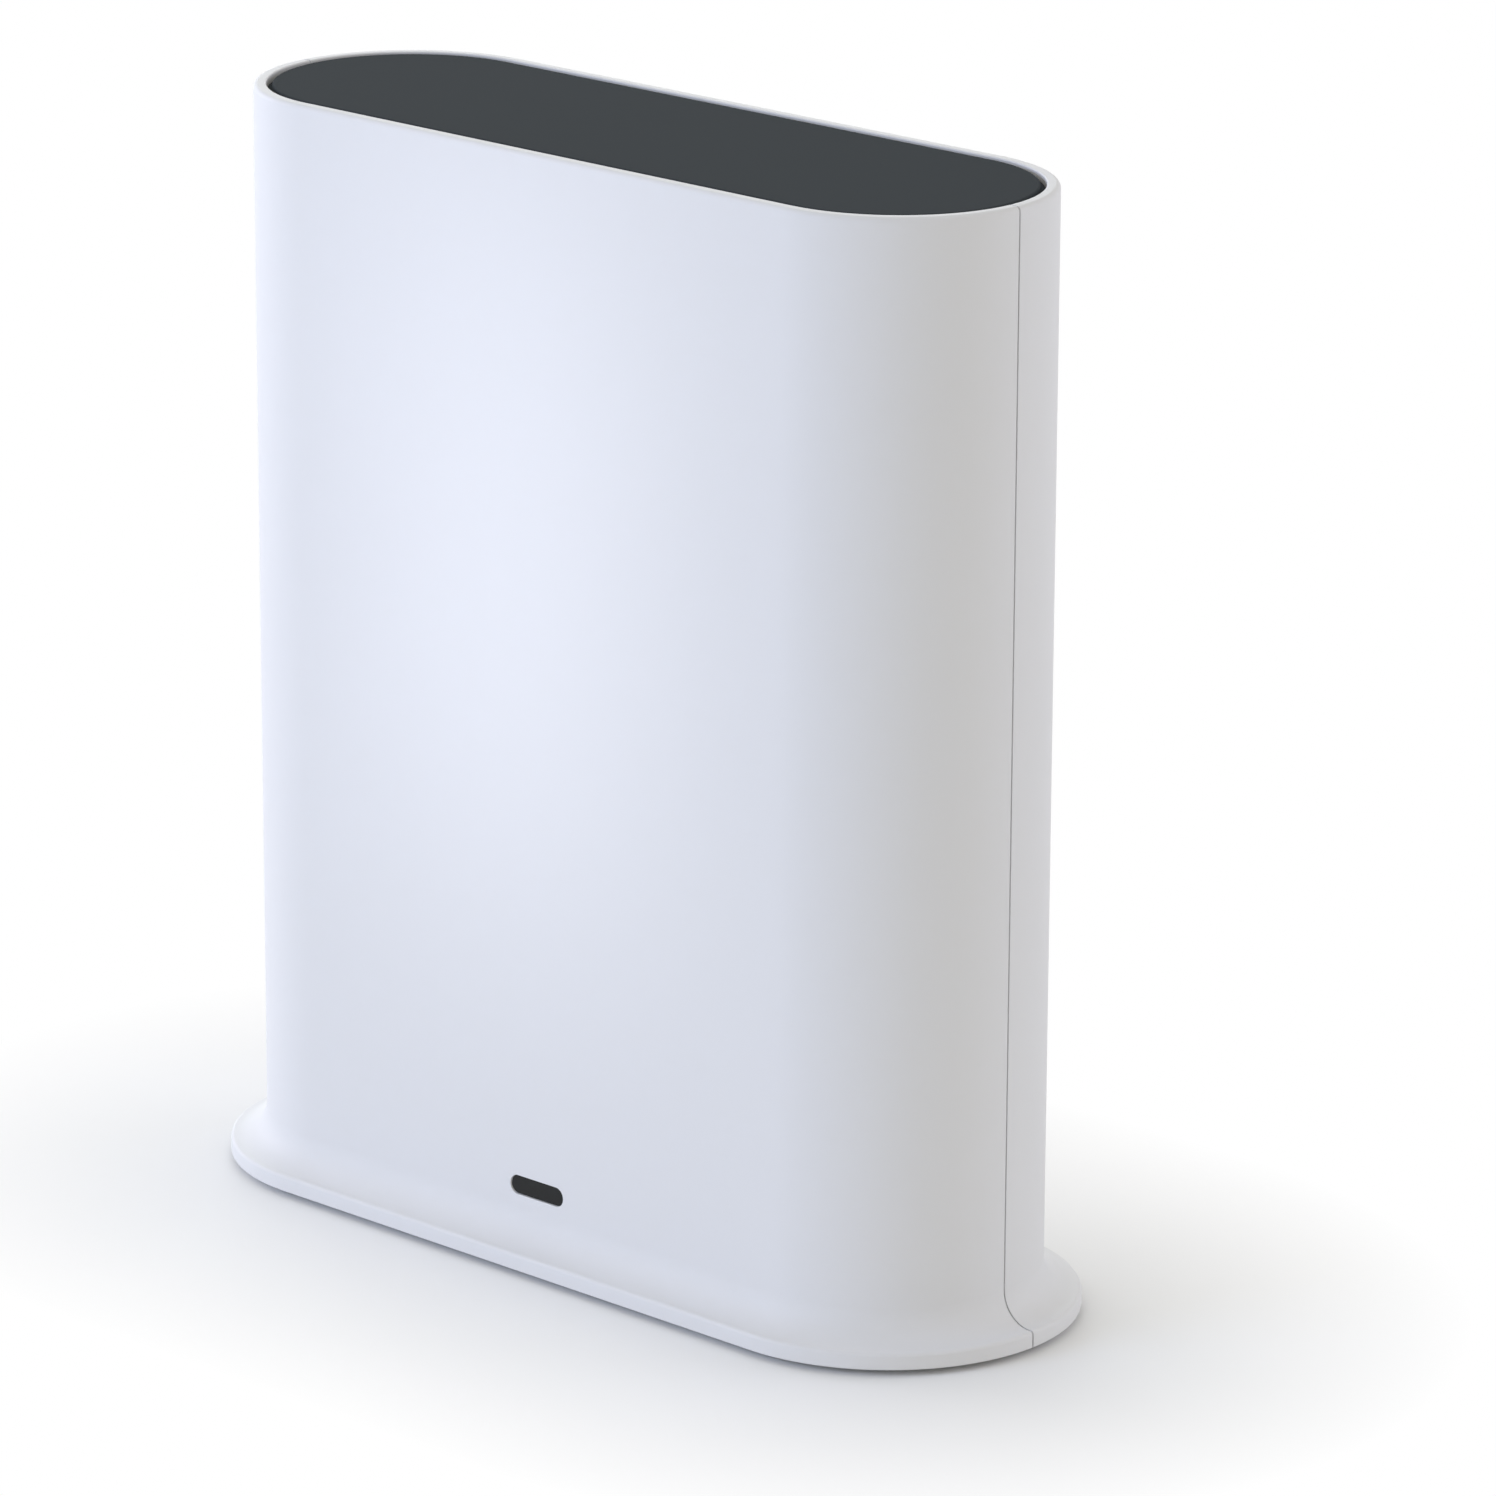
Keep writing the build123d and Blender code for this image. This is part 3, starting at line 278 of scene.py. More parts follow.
# %% Helper: apply a boolean and throw the tool away
def combined(piece, bm_tool, operation):
    tool = finished(bm_tool, piece.name + "_tool")
    modifier = piece.modifiers.new("cut", "BOOLEAN")
    modifier.operation, modifier.solver, modifier.object = operation, "EXACT", tool
    modifier.use_self = operation == "UNION"
    graph = bpy.context.evaluated_depsgraph_get()
    mesh = bpy.data.meshes.new_from_object(piece.evaluated_get(graph))
    piece.modifiers.clear()
    old, piece.data = piece.data, mesh
    bpy.data.meshes.remove(old)
    bpy.data.objects.remove(tool)
    mesh.name = piece.name


# %% Helpers: bevel chosen edges
ON_FACE = 1e-6  # a vertex this close to a face lies on it
CORNER = 1.0  # an edge that turns by more than this, in radians, is a corner


def soften(piece, chosen, width, segments=2):
    """Bevels the edges for which chosen(edge) is true."""
    bm = bmesh.new()
    bm.from_mesh(piece.data)
    bmesh.ops.remove_doubles(bm, verts=bm.verts, dist=MERGE)
    found = [e for e in bm.edges if chosen(e)]
    bmesh.ops.bevel(
        bm, geom=found, offset=width, offset_type="OFFSET", affect="EDGES",
        segments=segments, profile=0.5, material=-1, clamp_overlap=True)
    bmesh.ops.dissolve_degenerate(bm, edges=bm.edges, dist=MERGE)
    gaps = open_edges(bm)
    bm.to_mesh(piece.data)
    bm.free()
    shade(piece.data, 40)
    print(piece.name, "softened", len(found), "edges; faces", len(piece.data.polygons),
          "open edges", gaps)


def corners_at(y):
    """Chooses the corner edges of the flat face at depth y."""
    def chosen(edge):
        flat = all(abs(v.co.y - y) < ON_FACE for v in edge.verts)
        return flat and edge.calc_face_angle(0) > CORNER
    return chosen


# %% [markdown]
# ## The front half
#
# The half's own body is the swept profile. A tongue runs on from the inner half of the
# wall at both ends and slips behind the rear half, so that no light gets through the
# parting line. Two posts take the base plate's screws. The window's opening is a slot
# low on the front.

# %% Places in the front half
LAP_GAP = 0.1 * MM
LAP_TOP = PANEL_SEAT - 0.3 * MM
TONGUE_FACE = -(WALL + LAP_GAP) / 2
TONGUE_FROM, TONGUE_TO = -0.8 * MM, 2.0 * MM
tongue = [(TONGUE_FACE, BASE_SEAT + RECESS - BASE_LEDGE - TONGUE_FACE), (TONGUE_FACE, LAP_TOP)]
tongue += [(-LEDGE_END, LAP_TOP), (-LEDGE_END, LEDGE_BOTTOM), (-WALL, LEDGE_BOTTOM)]
tongue += [(-WALL, WALL_FOOT)]
WINDOW = (0.0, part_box("status_window")[0].z + 2.70 * MM)
WINDOW_SIZE = (11 * MM, 3.0 * MM)
base_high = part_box("base_screws")[1]
BASE_POST_X = base_high.x - HEAD
BASE_POST_Y = base_high.y - HEAD
print("window at", [round(v, 5) for v in WINDOW])
print("base posts at", round(BASE_POST_X, 4), round(BASE_POST_Y, 5))

# %% Helpers: posts for the base plate's screws, and their pilot holes
POST, PILOT = 6.0 * MM, 2.7 * MM  # diameters
POST_HEIGHT, PILOT_DEPTH = 11 * MM, 9 * MM
WEB = 1.8 * MM


def base_posts(bm, side):
    """Two posts for the base plate's screws, each with a web to its wall."""
    for x in (-BASE_POST_X, BASE_POST_X):
        rod(bm, (x, side * BASE_POST_Y), POST, BASE_SEAT, BASE_SEAT + POST_HEIGHT, 32, "Z")
        middle = side * (BASE_POST_Y + SUNK) / 2
        prism(bm, (x, middle), (WEB, SUNK - BASE_POST_Y), SQUARE,
              BASE_SEAT, BASE_SEAT + POST_HEIGHT, "Z")


def base_pilots(bm, side):
    """The pilot holes in those posts."""
    for x in (-BASE_POST_X, BASE_POST_X):
        rod(bm, (x, side * BASE_POST_Y), PILOT, BASE_SEAT - MM, BASE_SEAT + PILOT_DEPTH, 24, "Z")


# %% Front half
ROUND_END = 0.001 * MM  # how far a slot's round ends fall short of half its height


def slot_corner(size):
    return size[1] / 2 - ROUND_END


bm = bmesh.new()
sweep_half(bm, outside + inside, -1, SEAM)
shell_front = finished(bm, "shell_front")
bm = bmesh.new()
sweep_ends(bm, tongue, TONGUE_FROM, TONGUE_TO)
base_posts(bm, -1)
combined(shell_front, bm, "UNION")
bm = bmesh.new()
prism(bm, WINDOW, WINDOW_SIZE, slot_corner(WINDOW_SIZE), -HALF_DEPTH - MM, -INNER + MM, "Y", 64)
base_pilots(bm, -1)
combined(shell_front, bm, "DIFFERENCE")

# %% Front half: the window's edge
WINDOW_REACH = (6.0 * MM, 2.2 * MM)  # a little more than half of the window


def on_window_mouth(edge):
    """An edge of the window's opening that lies on the outer face."""
    return all(
        abs(v.co.y + HALF_DEPTH) < ON_FACE
        and abs(v.co.x) < WINDOW_REACH[0]
        and abs(v.co.z - WINDOW[1]) < WINDOW_REACH[1]
        for v in edge.verts)


soften(shell_front, on_window_mouth, 0.12 * MM)

# %% [markdown]
# ## The rear half
#
# The rear half carries the board's posts, the aerial carrier's posts, the collar that
# guides the sync button, the tube behind the reset hole and the ribs for the end
# aerials. It has the openings for the network, data and power sockets. Their places are
# read from the frame, so each opening stays round its socket.

# %% Places on the rear, read from the frame
def middle_of(node):
    low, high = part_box(node)
    return ((low.x + high.x) / 2, (low.z + high.z) / 2)


def size_of(node):
    low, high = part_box(node)
    return (high.x - low.x, high.z - low.z)


BOARD_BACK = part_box("main_board")[1].y
CARRIER_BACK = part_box("aerial_carrier")[1].y
board_low, board_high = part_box("board_screws")
carrier_low, carrier_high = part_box("carrier_screws")
aerial_low, aerial_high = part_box("aerial_right")
board_posts = [
    (x, z)
    for x in (board_low.x + HEAD, board_high.x - HEAD)
    for z in (board_low.z + HEAD, board_high.z - HEAD)
]
carrier_middle = (carrier_low.z + carrier_high.z) / 2
carrier_posts = [(x, carrier_middle) for x in (carrier_low.x + HEAD, carrier_high.x - HEAD)]
ETHERNET, USB = middle_of("ethernet_shield"), middle_of("usb_shell")
JACK = middle_of("power_jack")
BUTTON, RESET = middle_of("sync_button"), middle_of("reset_switch")
print("sockets at", [tuple(round(v, 4) for v in p) for p in (ETHERNET, USB, JACK)])

# %% Helpers: fittings inside the rear half
POST_SKIN = 0.6 * MM  # the least wall left behind a post
RIB_HEIGHT, RIB_GRIP = 2 * MM, 1.2 * MM


def post_end(x):
    """How far back a post at x may reach and stay inside the wall where it turns."""
    past_run = max(abs(x) + POST / 2 - RUN, 0)
    return min(SUNK, math.sqrt((HALF_DEPTH - POST_SKIN) ** 2 - past_run ** 2))


def aerial_ribs(bm):
    """Ribs above and below each end aerial, in front of its strip and behind it."""
    start = aerial_low.x - 3.5 * MM
    rows = ((aerial_low.y + 2.75 * MM, 5.5 * MM), (aerial_high.y - 1.75 * MM, 7.5 * MM))
    for side in (-1, 1):
        for z in (aerial_low.z + RIB_GRIP - RIB_HEIGHT, aerial_high.z - RIB_GRIP):
            for y, width in rows:
                reach = RUN + math.sqrt(SUNK ** 2 - (y + width / 2) ** 2)
                centre = (side * (start + reach) / 2, y)
                prism(bm, centre, (reach - start, width), SQUARE, z, z + RIB_HEIGHT, "Z")


# %% Rear half
COLLAR, COLLAR_LENGTH = 17.5 * MM, 4 * MM
TUBE, TUBE_START = 4.8 * MM, 5.3 * MM
bm = bmesh.new()
sweep_half(bm, outside + inside, 1, SEAM)
shell_rear = finished(bm, "shell_rear")
bm = bmesh.new()
for places, back in ((board_posts, BOARD_BACK), (carrier_posts, CARRIER_BACK)):
    for place in places:
        rod(bm, place, POST, back, post_end(place[0]), 32)
rod(bm, BUTTON, COLLAR, INNER - COLLAR_LENGTH, SUNK, 64)
rod(bm, RESET, TUBE, BOARD_BACK + TUBE_START, SUNK, 32)
aerial_ribs(bm)
base_posts(bm, 1)
combined(shell_rear, bm, "UNION")

# %% Rear half: the sockets' openings and the bore of the collar
PORT_GAP, PORT_CORNER = 0.25 * MM, 0.5 * MM
JACK_HOLE, COLLAR_BORE = 8.9 * MM, 15.1 * MM
THROUGH = HALF_DEPTH + MM
INSIDE = INNER - 0.5 * MM
bm = bmesh.new()
for node, place in (("ethernet_shield", ETHERNET), ("usb_shell", USB)):
    width, height = size_of(node)
    opening = (width + 2 * PORT_GAP, height + 2 * PORT_GAP)
    prism(bm, place, opening, PORT_CORNER, INSIDE, THROUGH, "Y", 32)
rod(bm, JACK, JACK_HOLE, INSIDE, THROUGH, 64)
rod(bm, BUTTON, COLLAR_BORE, INNER - 5 * MM, INNER, 64)
combined(shell_rear, bm, "DIFFERENCE")

# %% Rear half: the button's and reset holes, the pilot holes and the aerials' slots
BUTTON_HOLE, RESET_HOLE = 12.3 * MM, 1.6 * MM
SLOT_SIZE, SLOT_GAP = (0.9 * MM, 9.1 * MM), 0.05 * MM
bm = bmesh.new()
rod(bm, BUTTON, BUTTON_HOLE, INSIDE, THROUGH, 64)
rod(bm, RESET, RESET_HOLE, BOARD_BACK, THROUGH, 32)
for places, back in ((board_posts, BOARD_BACK), (carrier_posts, CARRIER_BACK)):
    for place in places:
        rod(bm, place, PILOT, back - MM, back + PILOT_DEPTH, 24)
for side in (-1, 1):
    middle = (side * (aerial_low.x + aerial_high.x) / 2, (aerial_low.y + aerial_high.y) / 2)
    prism(bm, middle, SLOT_SIZE, SQUARE / 2,
          aerial_low.z - SLOT_GAP, aerial_high.z + SLOT_GAP, "Z")
base_pilots(bm, 1)
combined(shell_rear, bm, "DIFFERENCE")

# %% Rear half: the rebate that takes the tongue
REBATE_FACE, REBATE_DEPTH = -(WALL - LAP_GAP) / 2, -6 * MM
REBATE_FROM, REBATE_TO = -0.5 * MM, 2.3 * MM
rebate = [(REBATE_FACE, FOOT - MM), (REBATE_FACE, PANEL_SEAT)]
rebate += [(REBATE_DEPTH, PANEL_SEAT), (REBATE_DEPTH, FOOT - MM)]
bm = bmesh.new()
sweep_ends(bm, rebate, REBATE_FROM, REBATE_TO)
combined(shell_rear, bm, "DIFFERENCE")

# %% Rear half: the edges of the openings
MOUTHS_REACH, MOUTHS_LOW, MOUTHS_HIGH = 35 * MM, 12 * MM, 65 * MM


def on_rear_mouth(edge):
    """An edge of an opening that lies on the flat outer face of the rear."""
    among = all(
        abs(v.co.x) < MOUTHS_REACH and MOUTHS_LOW < v.co.z < MOUTHS_HIGH for v in edge.verts)
    return among and corners_at(HALF_DEPTH)(edge)


soften(shell_rear, on_rear_mouth, 0.35 * MM, 3)


# %% [markdown]
# ## The top panel
#
# The dark panel drops into the rim and rests on the ledge. It is a plate with a rounded
# edge, a thin flange low in the gap that keeps the gap dark, a rib that centres it and
# snap arms along both sides. The plate is swept round the whole stadium, so its edge
# stays even all the way.

# %% Helper: a stadium plate
def stadium_plate(bm, grow, bottom, top, edge_round, steps, segments=160):
    """A solid stadium plate with a rounded upper edge."""
    edge = [(grow, bottom)] + arc((grow - edge_round, top - edge_round), edge_round, 0, 90, steps)
    half_step = Matrix.Rotation(math.pi / segments, 3, "Z")
    rows = []
    for r, z in edge:
        circle = bmesh.ops.create_circle(
            bm, cap_ends=False, segments=segments, radius=HALF_DEPTH + r)["verts"]
        bmesh.ops.rotate(bm, verts=circle, matrix=half_step)
        for v in circle:
            v.co.x += math.copysign(RUN, v.co.x)
            v.co.z = z
        rows.append({e for v in circle for e in v.link_edges})
    for lower, upper in zip(rows, rows[1:]):
        bmesh.ops.bridge_loops(bm, edges=list(lower | upper))
    for rim in (rows[0], rows[-1]):
        bmesh.ops.contextual_create(bm, geom=list(rim))


# %% Top panel: the plate, its flange and the rib
PANEL_ROUND = 0.3 * MM
FLANGE_GAP, FLANGE_DROP, FLANGE_ROUND = 0.12 * MM, 1.0 * MM, 0.1 * MM
RIB_INSET = LEDGE_END + 0.15 * MM
RIB_WIDTH, RIB_DEPTH, RIB_OVERLAP = 1.2 * MM, 1.2 * MM, 0.2 * MM
RIB_LOW, RIB_HIGH = PANEL_SEAT - RIB_DEPTH, PANEL_SEAT + RIB_OVERLAP
bm = bmesh.new()
stadium_plate(bm, -PANEL_INSET, PANEL_SEAT, panel_high.z, PANEL_ROUND, 6)
top_plate = finished(bm, "top_plate")
bm = bmesh.new()
stadium_plate(bm, -RIM - FLANGE_GAP, PANEL_SEAT, panel_high.z - FLANGE_DROP, FLANGE_ROUND, 2)
combined(top_plate, bm, "UNION")
bm = bmesh.new()
rib = [(-RIB_INSET, RIB_LOW), (-RIB_INSET, RIB_HIGH)]
rib += [(-RIB_INSET - RIB_WIDTH, RIB_HIGH), (-RIB_INSET - RIB_WIDTH, RIB_LOW)]
for side in (-1, 1):
    sweep_half(bm, rib, side, 0.0)
combined(top_plate, bm, "UNION")

# %% Top panel: the snap arms
ARM_COUNT, ARM_WIDTH, ARM_THICKNESS, ARM_DROP = 4, 8 * MM, 1.2 * MM, 3.4 * MM
ARM_OUTER = HALF_DEPTH - RIB_INSET
HOOK_TOP = LEDGE_BOTTOM - 0.15 * MM
HOOK_REACH, HOOK_HEIGHT = 0.7 * MM, 0.6 * MM
arm = [(ARM_OUTER - ARM_THICKNESS, RIB_HIGH), (ARM_OUTER, RIB_HIGH), (ARM_OUTER, HOOK_TOP)]
arm += [(ARM_OUTER + HOOK_REACH, HOOK_TOP), (ARM_OUTER + HOOK_REACH, HOOK_TOP - HOOK_HEIGHT)]
arm += [(ARM_OUTER, LEDGE_BOTTOM - ARM_DROP), (ARM_OUTER - ARM_THICKNESS, LEDGE_BOTTOM - ARM_DROP)]
bm = bmesh.new()
for side in (-1, 1):
    for n in range(ARM_COUNT):
        x = (n - (ARM_COUNT - 1) / 2) * 2 * RUN / ARM_COUNT - ARM_WIDTH / 2
        outline = bm.faces.new([bm.verts.new((x, side * y, z)) for y, z in arm])
        pulled = bmesh.ops.extrude_face_region(bm, geom=[outline])["geom"]
        bmesh.ops.translate(bm, verts=only(BMVert, pulled), vec=(ARM_WIDTH, 0, 0))
combined(top_plate, bm, "UNION")

# %% [markdown]
# ## The status window
#
# A smoked lens fills the slot in the front, a little behind the wall's face, with a
# flange behind the wall that holds it. Its front edge is slightly rounded, which gives
# the dark pill its thin bright outline.

# %% Status window
LENS_SIZE, LENS_FLANGE = (10.9 * MM, 2.9 * MM), (13.4 * MM, 5.4 * MM)
LENS_FACE, FLANGE_THICKNESS = -HALF_DEPTH + 0.2 * MM, 0.8 * MM
bm = bmesh.new()
prism(bm, WINDOW, LENS_SIZE, slot_corner(LENS_SIZE), LENS_FACE, -INNER, "Y", 64)
prism(bm, WINDOW, LENS_FLANGE, slot_corner(LENS_FLANGE),
      -INNER, -INNER + FLANGE_THICKNESS, "Y", 64)
window_lens = finished(bm, "window_lens")
soften(window_lens, corners_at(LENS_FACE), 0.15 * MM, 3)

# %% [markdown]
# ## The sync button and the power socket
#
# The round button stands a little proud of the rear. Its cap is a prism with a soft
# edge, on a flange and a cross-shaped plunger. The power socket is a box with a round
# nose, a round bore and a centre pin. All of these are turned parts, so they get more
# segments than the plain model gives them.

# %% Sync button
CAP, CAP_FLANGE = 12 * MM, 14.8 * MM
PLUNGER_LONG, PLUNGER_THIN = 4 * MM, 1.2 * MM
button_low, button_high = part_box("sync_button")
bm = bmesh.new()
rod(bm, BUTTON, CAP, INNER - MM, button_high.y, 96)
button_cap = finished(bm, "button_cap")
bm = bmesh.new()
rod(bm, BUTTON, CAP_FLANGE, INNER - 1.4 * MM, INNER - 0.2 * MM, 96)
for size in ((PLUNGER_LONG, PLUNGER_THIN), (PLUNGER_THIN, PLUNGER_LONG)):
    prism(bm, BUTTON, size, SQUARE, button_low.y, INNER - MM)
combined(button_cap, bm, "UNION")
soften(button_cap, corners_at(button_high.y), 0.45 * MM, 5)

# %% Power socket
NOSE, NOSE_LENGTH = 8.4 * MM, 3 * MM
BORE, BORE_DEPTH = 6.3 * MM, 9.5 * MM
PIN_SEAT, PIN_SEAT_DEPTH = 2.9 * MM, 12.5 * MM
jack_low, jack_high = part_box("power_jack")
slot_low, slot_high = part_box("power_jack_contact")
MOUTH = jack_high.y
slot = ((slot_low.x + slot_high.x) / 2, JACK[1] - BORE / 2)
bm = bmesh.new()
prism(bm, JACK, (9 * MM, 11 * MM), 0.3 * MM, jack_low.y, MOUTH - NOSE_LENGTH, "Y", 16)
socket_body = finished(bm, "socket_body")
bm = bmesh.new()
rod(bm, JACK, NOSE, MOUTH - NOSE_LENGTH - MM, MOUTH, 96)
combined(socket_body, bm, "UNION")
bm = bmesh.new()
rod(bm, JACK, BORE, MOUTH - BORE_DEPTH, MOUTH + MM, 96)
rod(bm, JACK, PIN_SEAT, MOUTH - PIN_SEAT_DEPTH, MOUTH - BORE_DEPTH + 0.5 * MM, 48)
prism(bm, slot, (1.9 * MM, 2 * MM), SQUARE / 2, jack_low.y - MM, MOUTH - NOSE_LENGTH)
combined(socket_body, bm, "DIFFERENCE")
soften(socket_body, corners_at(MOUTH), 0.25 * MM, 3)

# %% The power socket's pin
PIN, PIN_ROOT = 2 * MM, 2.8 * MM
pin_low, pin_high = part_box("power_jack_pin")
bm = bmesh.new()
rod(bm, JACK, PIN, MOUTH - BORE_DEPTH, pin_high.y, 48)
rod(bm, JACK, PIN_ROOT, pin_low.y, MOUTH - BORE_DEPTH, 48)
socket_pin = finished(bm, "socket_pin")
soften(socket_pin, corners_at(pin_high.y), 0.5 * MM, 5)

# %% [markdown]
# ## Who moves with what
#
# Each new piece rides on the body of the piece that it stands for, and hides it. Large
# flat faces meet small round ones all over these mouldings, and plain smooth shading
# would bend the light across the flat ones. Weighted normals let each flat face keep
# its own direction.

# %% Riding, replacing and even highlights
stands_for = [
    (shell_front, "front_cover", "housing", "shell_white"),
    (shell_rear, "rear_cover", "housing", "shell_white"),
    (top_plate, "top_panel", "housing", "panel_grey"),
    (window_lens, "status_window", "housing", "window_smoke"),
    (button_cap, "sync_button", "button", "button_grey"),
    (socket_body, "power_jack", "housing", "moulded_black"),
    (socket_pin, "power_jack_pin", "housing", "plated_steel"),
]
for piece, node, body, slot_name in stands_for:
    weighted = piece.modifiers.new("weighted", "WEIGHTED_NORMAL")
    weighted.keep_sharp = True
    weighted.weight = 100
    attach(piece, body)
    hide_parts(node)
print("pieces that stand for CAD ones:", len(stands_for))


# %% [markdown]
# ## Writing shader maths
#
# Patterns are easier to read as sums than as a web of nodes. A small class wraps a
# socket, so that `1 - grain * 0.2` adds the Math nodes by itself. Everything else comes
# from one method that makes a node, sets it up and links what it is given.

# %% A socket that can be used in sums
class Value:
    """A socket that adds Math nodes when it is used in a sum."""

    def __init__(self, tree, socket):
        self.tree, self.socket = tree, socket

    def _math(self, operation, first, second=0.0):
        node = self.tree.nodes.new("ShaderNodeMath")
        node.operation = operation
        for place, item in zip(node.inputs, (first, second)):
            if isinstance(item, Value):
                self.tree.links.new(item.socket, place)
            else:
                place.default_value = item
        return Value(self.tree, node.outputs[0])

    def __add__(self, other): return self._math("ADD", self, other)
    def __radd__(self, other): return self._math("ADD", other, self)
    def __sub__(self, other): return self._math("SUBTRACT", self, other)
    def __rsub__(self, other): return self._math("SUBTRACT", other, self)
    def __mul__(self, other): return self._math("MULTIPLY", self, other)
    def __rmul__(self, other): return self._math("MULTIPLY", other, self)
    def __abs__(self): return self._math("ABSOLUTE", self)
    def root(self): return self._math("SQRT", self)
    def larger(self, other): return self._math("MAXIMUM", self, other)


# %% A material with one method for every other node
class Finish:
    """A material with one Principled shader, and a method for any other node."""

    def __init__(self, name, **constants):
        self.material = bpy.data.materials.new(name)
        self.material.use_nodes = True
        self.tree = self.material.node_tree
        self.shader = self.tree.nodes["Principled BSDF"]
        for key, value in constants.items():
            self.shader.inputs[key.replace("_", " ")].default_value = value
        self.place = self.node("ShaderNodeTexCoord", out="Object")

    def node(self, kind, settings=None, out=0, **inputs):
        """Inputs go by name, or as i0, i1 and so on by number."""
        made = self.tree.nodes.new(kind)
        for key, value in (settings or {}).items():
            setattr(made, key, value)
        for key, value in inputs.items():
            numbered = key[0] == "i" and key[1:].isdigit()
            socket = made.inputs[int(key[1:]) if numbered else key.replace("_", " ")]
            if isinstance(value, Value):
                self.tree.links.new(value.socket, socket)
            else:
                socket.default_value = value
        return Value(self.tree, made.outputs[out])

    def noise(self, scale, detail, roughness, vector=None):
        return self.node(
            "ShaderNodeTexNoise", Vector=vector or self.place,
            Scale=scale, Detail=detail, Roughness=roughness)

    def blend(self, factor, first, second):
        return self.node(
            "ShaderNodeMix", {"data_type": "RGBA"}, out=2,
            i0=factor, i6=(*first, 1), i7=(*second, 1))

    def bump(self, height, distance):
        self.feed("Normal", self.node("ShaderNodeBump", Height=height, Distance=distance))

    def feed(self, name, value):
        self.tree.links.new(value.socket, self.shader.inputs[name])


# %% Shader helpers
def ranged(value, low, high):
    """Turns a 0 to 1 value into one from low to high."""
    return value * (high - low) + low


def seen_rays(tree):
    """1 for what the camera sees, straight or in gloss and glass, and 0 for other light."""
    rays = tree.nodes.new("ShaderNodeLightPath").outputs
    straight = Value(tree, rays["Is Camera Ray"])
    gloss = Value(tree, rays["Is Glossy Ray"])
    glass = Value(tree, rays["Is Transmission Ray"])
    return straight.larger(gloss.larger(glass))


# %% [markdown]
# ## Moulded plastics
#
# The shell's white is a matte moulded plastic: an even spark-eroded grain a few tenths
# of a millimetre across, slow drifts in tone where the melt flowed, and slight changes
# of gloss. The same recipe, with other colours, gives the dark panel and the black
# sockets.

# %% Finish: moulded plastic
def moulded(name, colour, drift, gloss, grain, depth, **constants):
    """colour varies by drift, roughness by gloss, and the grain has its size and depth."""
    finish = Finish(name, **constants)
    flow = finish.noise(22, 3.0, 0.55)
    speck = finish.noise(1 / grain, 2.0, 0.6)
    dark = tuple(c * (1 - drift) for c in colour)
    light = tuple(min(c * (1 + drift), 1) for c in colour)
    finish.feed("Base Color", finish.blend(flow * 0.7 + speck * 0.3, dark, light))
    finish.feed("Roughness", ranged(flow * 0.4 + speck * 0.6, *gloss))
    finish.bump(speck, depth)
    return finish.material


finishes = {
    "shell_white": moulded(
        "white_moulded_plastic", (0.80, 0.80, 0.805), 0.012, (0.48, 0.60),
        0.35 * MM, 0.004 * MM, Specular_IOR_Level=0.30),
    "panel_grey": moulded(
        "slate_panel", (0.053, 0.060, 0.065), 0.05, (0.66, 0.78),
        0.28 * MM, 0.010 * MM, Specular_IOR_Level=0.01),
    "button_grey": moulded(
        "pale_button", (0.66, 0.67, 0.69), 0.02, (0.34, 0.44), 0.3 * MM, 0.004 * MM),
    "moulded_black": moulded(
        "black_connector_plastic", (0.016, 0.016, 0.017), 0.15, (0.42, 0.55),
        0.4 * MM, 0.006 * MM),
    "lamp_white": moulded(
        "lamp_resin", (0.78, 0.77, 0.66), 0.03, (0.30, 0.40), 0.3 * MM, 0.003 * MM),
}
print("moulded plastics:", len(finishes))

# %% [markdown]
# ## The smoked window
#
# The lens is nearly black and only faintly glossy. A thin clear coat gives it a sharper
# reflection than the body below, and a faint cloudiness stops it from looking like a
# hole.

# %% Finish: smoked window
window_finish = Finish(
    "smoked_window", Coat_Weight=0.12, Coat_Roughness=0.12, IOR=1.40, Specular_IOR_Level=0.30)
cloud = window_finish.noise(900, 2.0, 0.5)
window_finish.feed(
    "Base Color", window_finish.blend(cloud, (0.007, 0.0075, 0.007), (0.012, 0.0125, 0.012)))
window_finish.feed("Roughness", ranged(cloud, 0.30, 0.42))
finishes["window_smoke"] = window_finish.material
print("finishes so far:", len(finishes))

# %% [markdown]
# ## Rubber, metals and the board
#
# The pieces that show less still get their own finish: rubber with a dry grain, plated
# steel with faint rolling lines, gold contacts, a green board with a woven glint, and
# black chips with a matte face.

# %% Finish: rubber, lead jacket, thermal pad, chips, light pipe
finishes.update({
    "foot_rubber": moulded(
        "foot_rubber", (0.030, 0.030, 0.031), 0.15, (0.78, 0.92),
        0.5 * MM, 0.02 * MM, Specular_IOR_Level=0.25),
    "lead_grey": moulded(
        "lead_jacket", (0.10, 0.10, 0.11), 0.08, (0.45, 0.60), 0.4 * MM, 0.01 * MM),
    "thermal_grey": moulded(
        "thermal_pad", (0.34, 0.37, 0.42), 0.06, (0.70, 0.85), 0.6 * MM, 0.02 * MM),
    "chip_black": moulded(
        "chip_epoxy", (0.022, 0.022, 0.024), 0.20, (0.55, 0.70), 0.2 * MM, 0.01 * MM),
    "pipe_clear": moulded(
        "light_pipe", (0.74, 0.78, 0.80), 0.02, (0.06, 0.14),
        0.8 * MM, 0.002 * MM, Transmission_Weight=0.6, IOR=1.49),
})
print("finishes so far:", len(finishes))


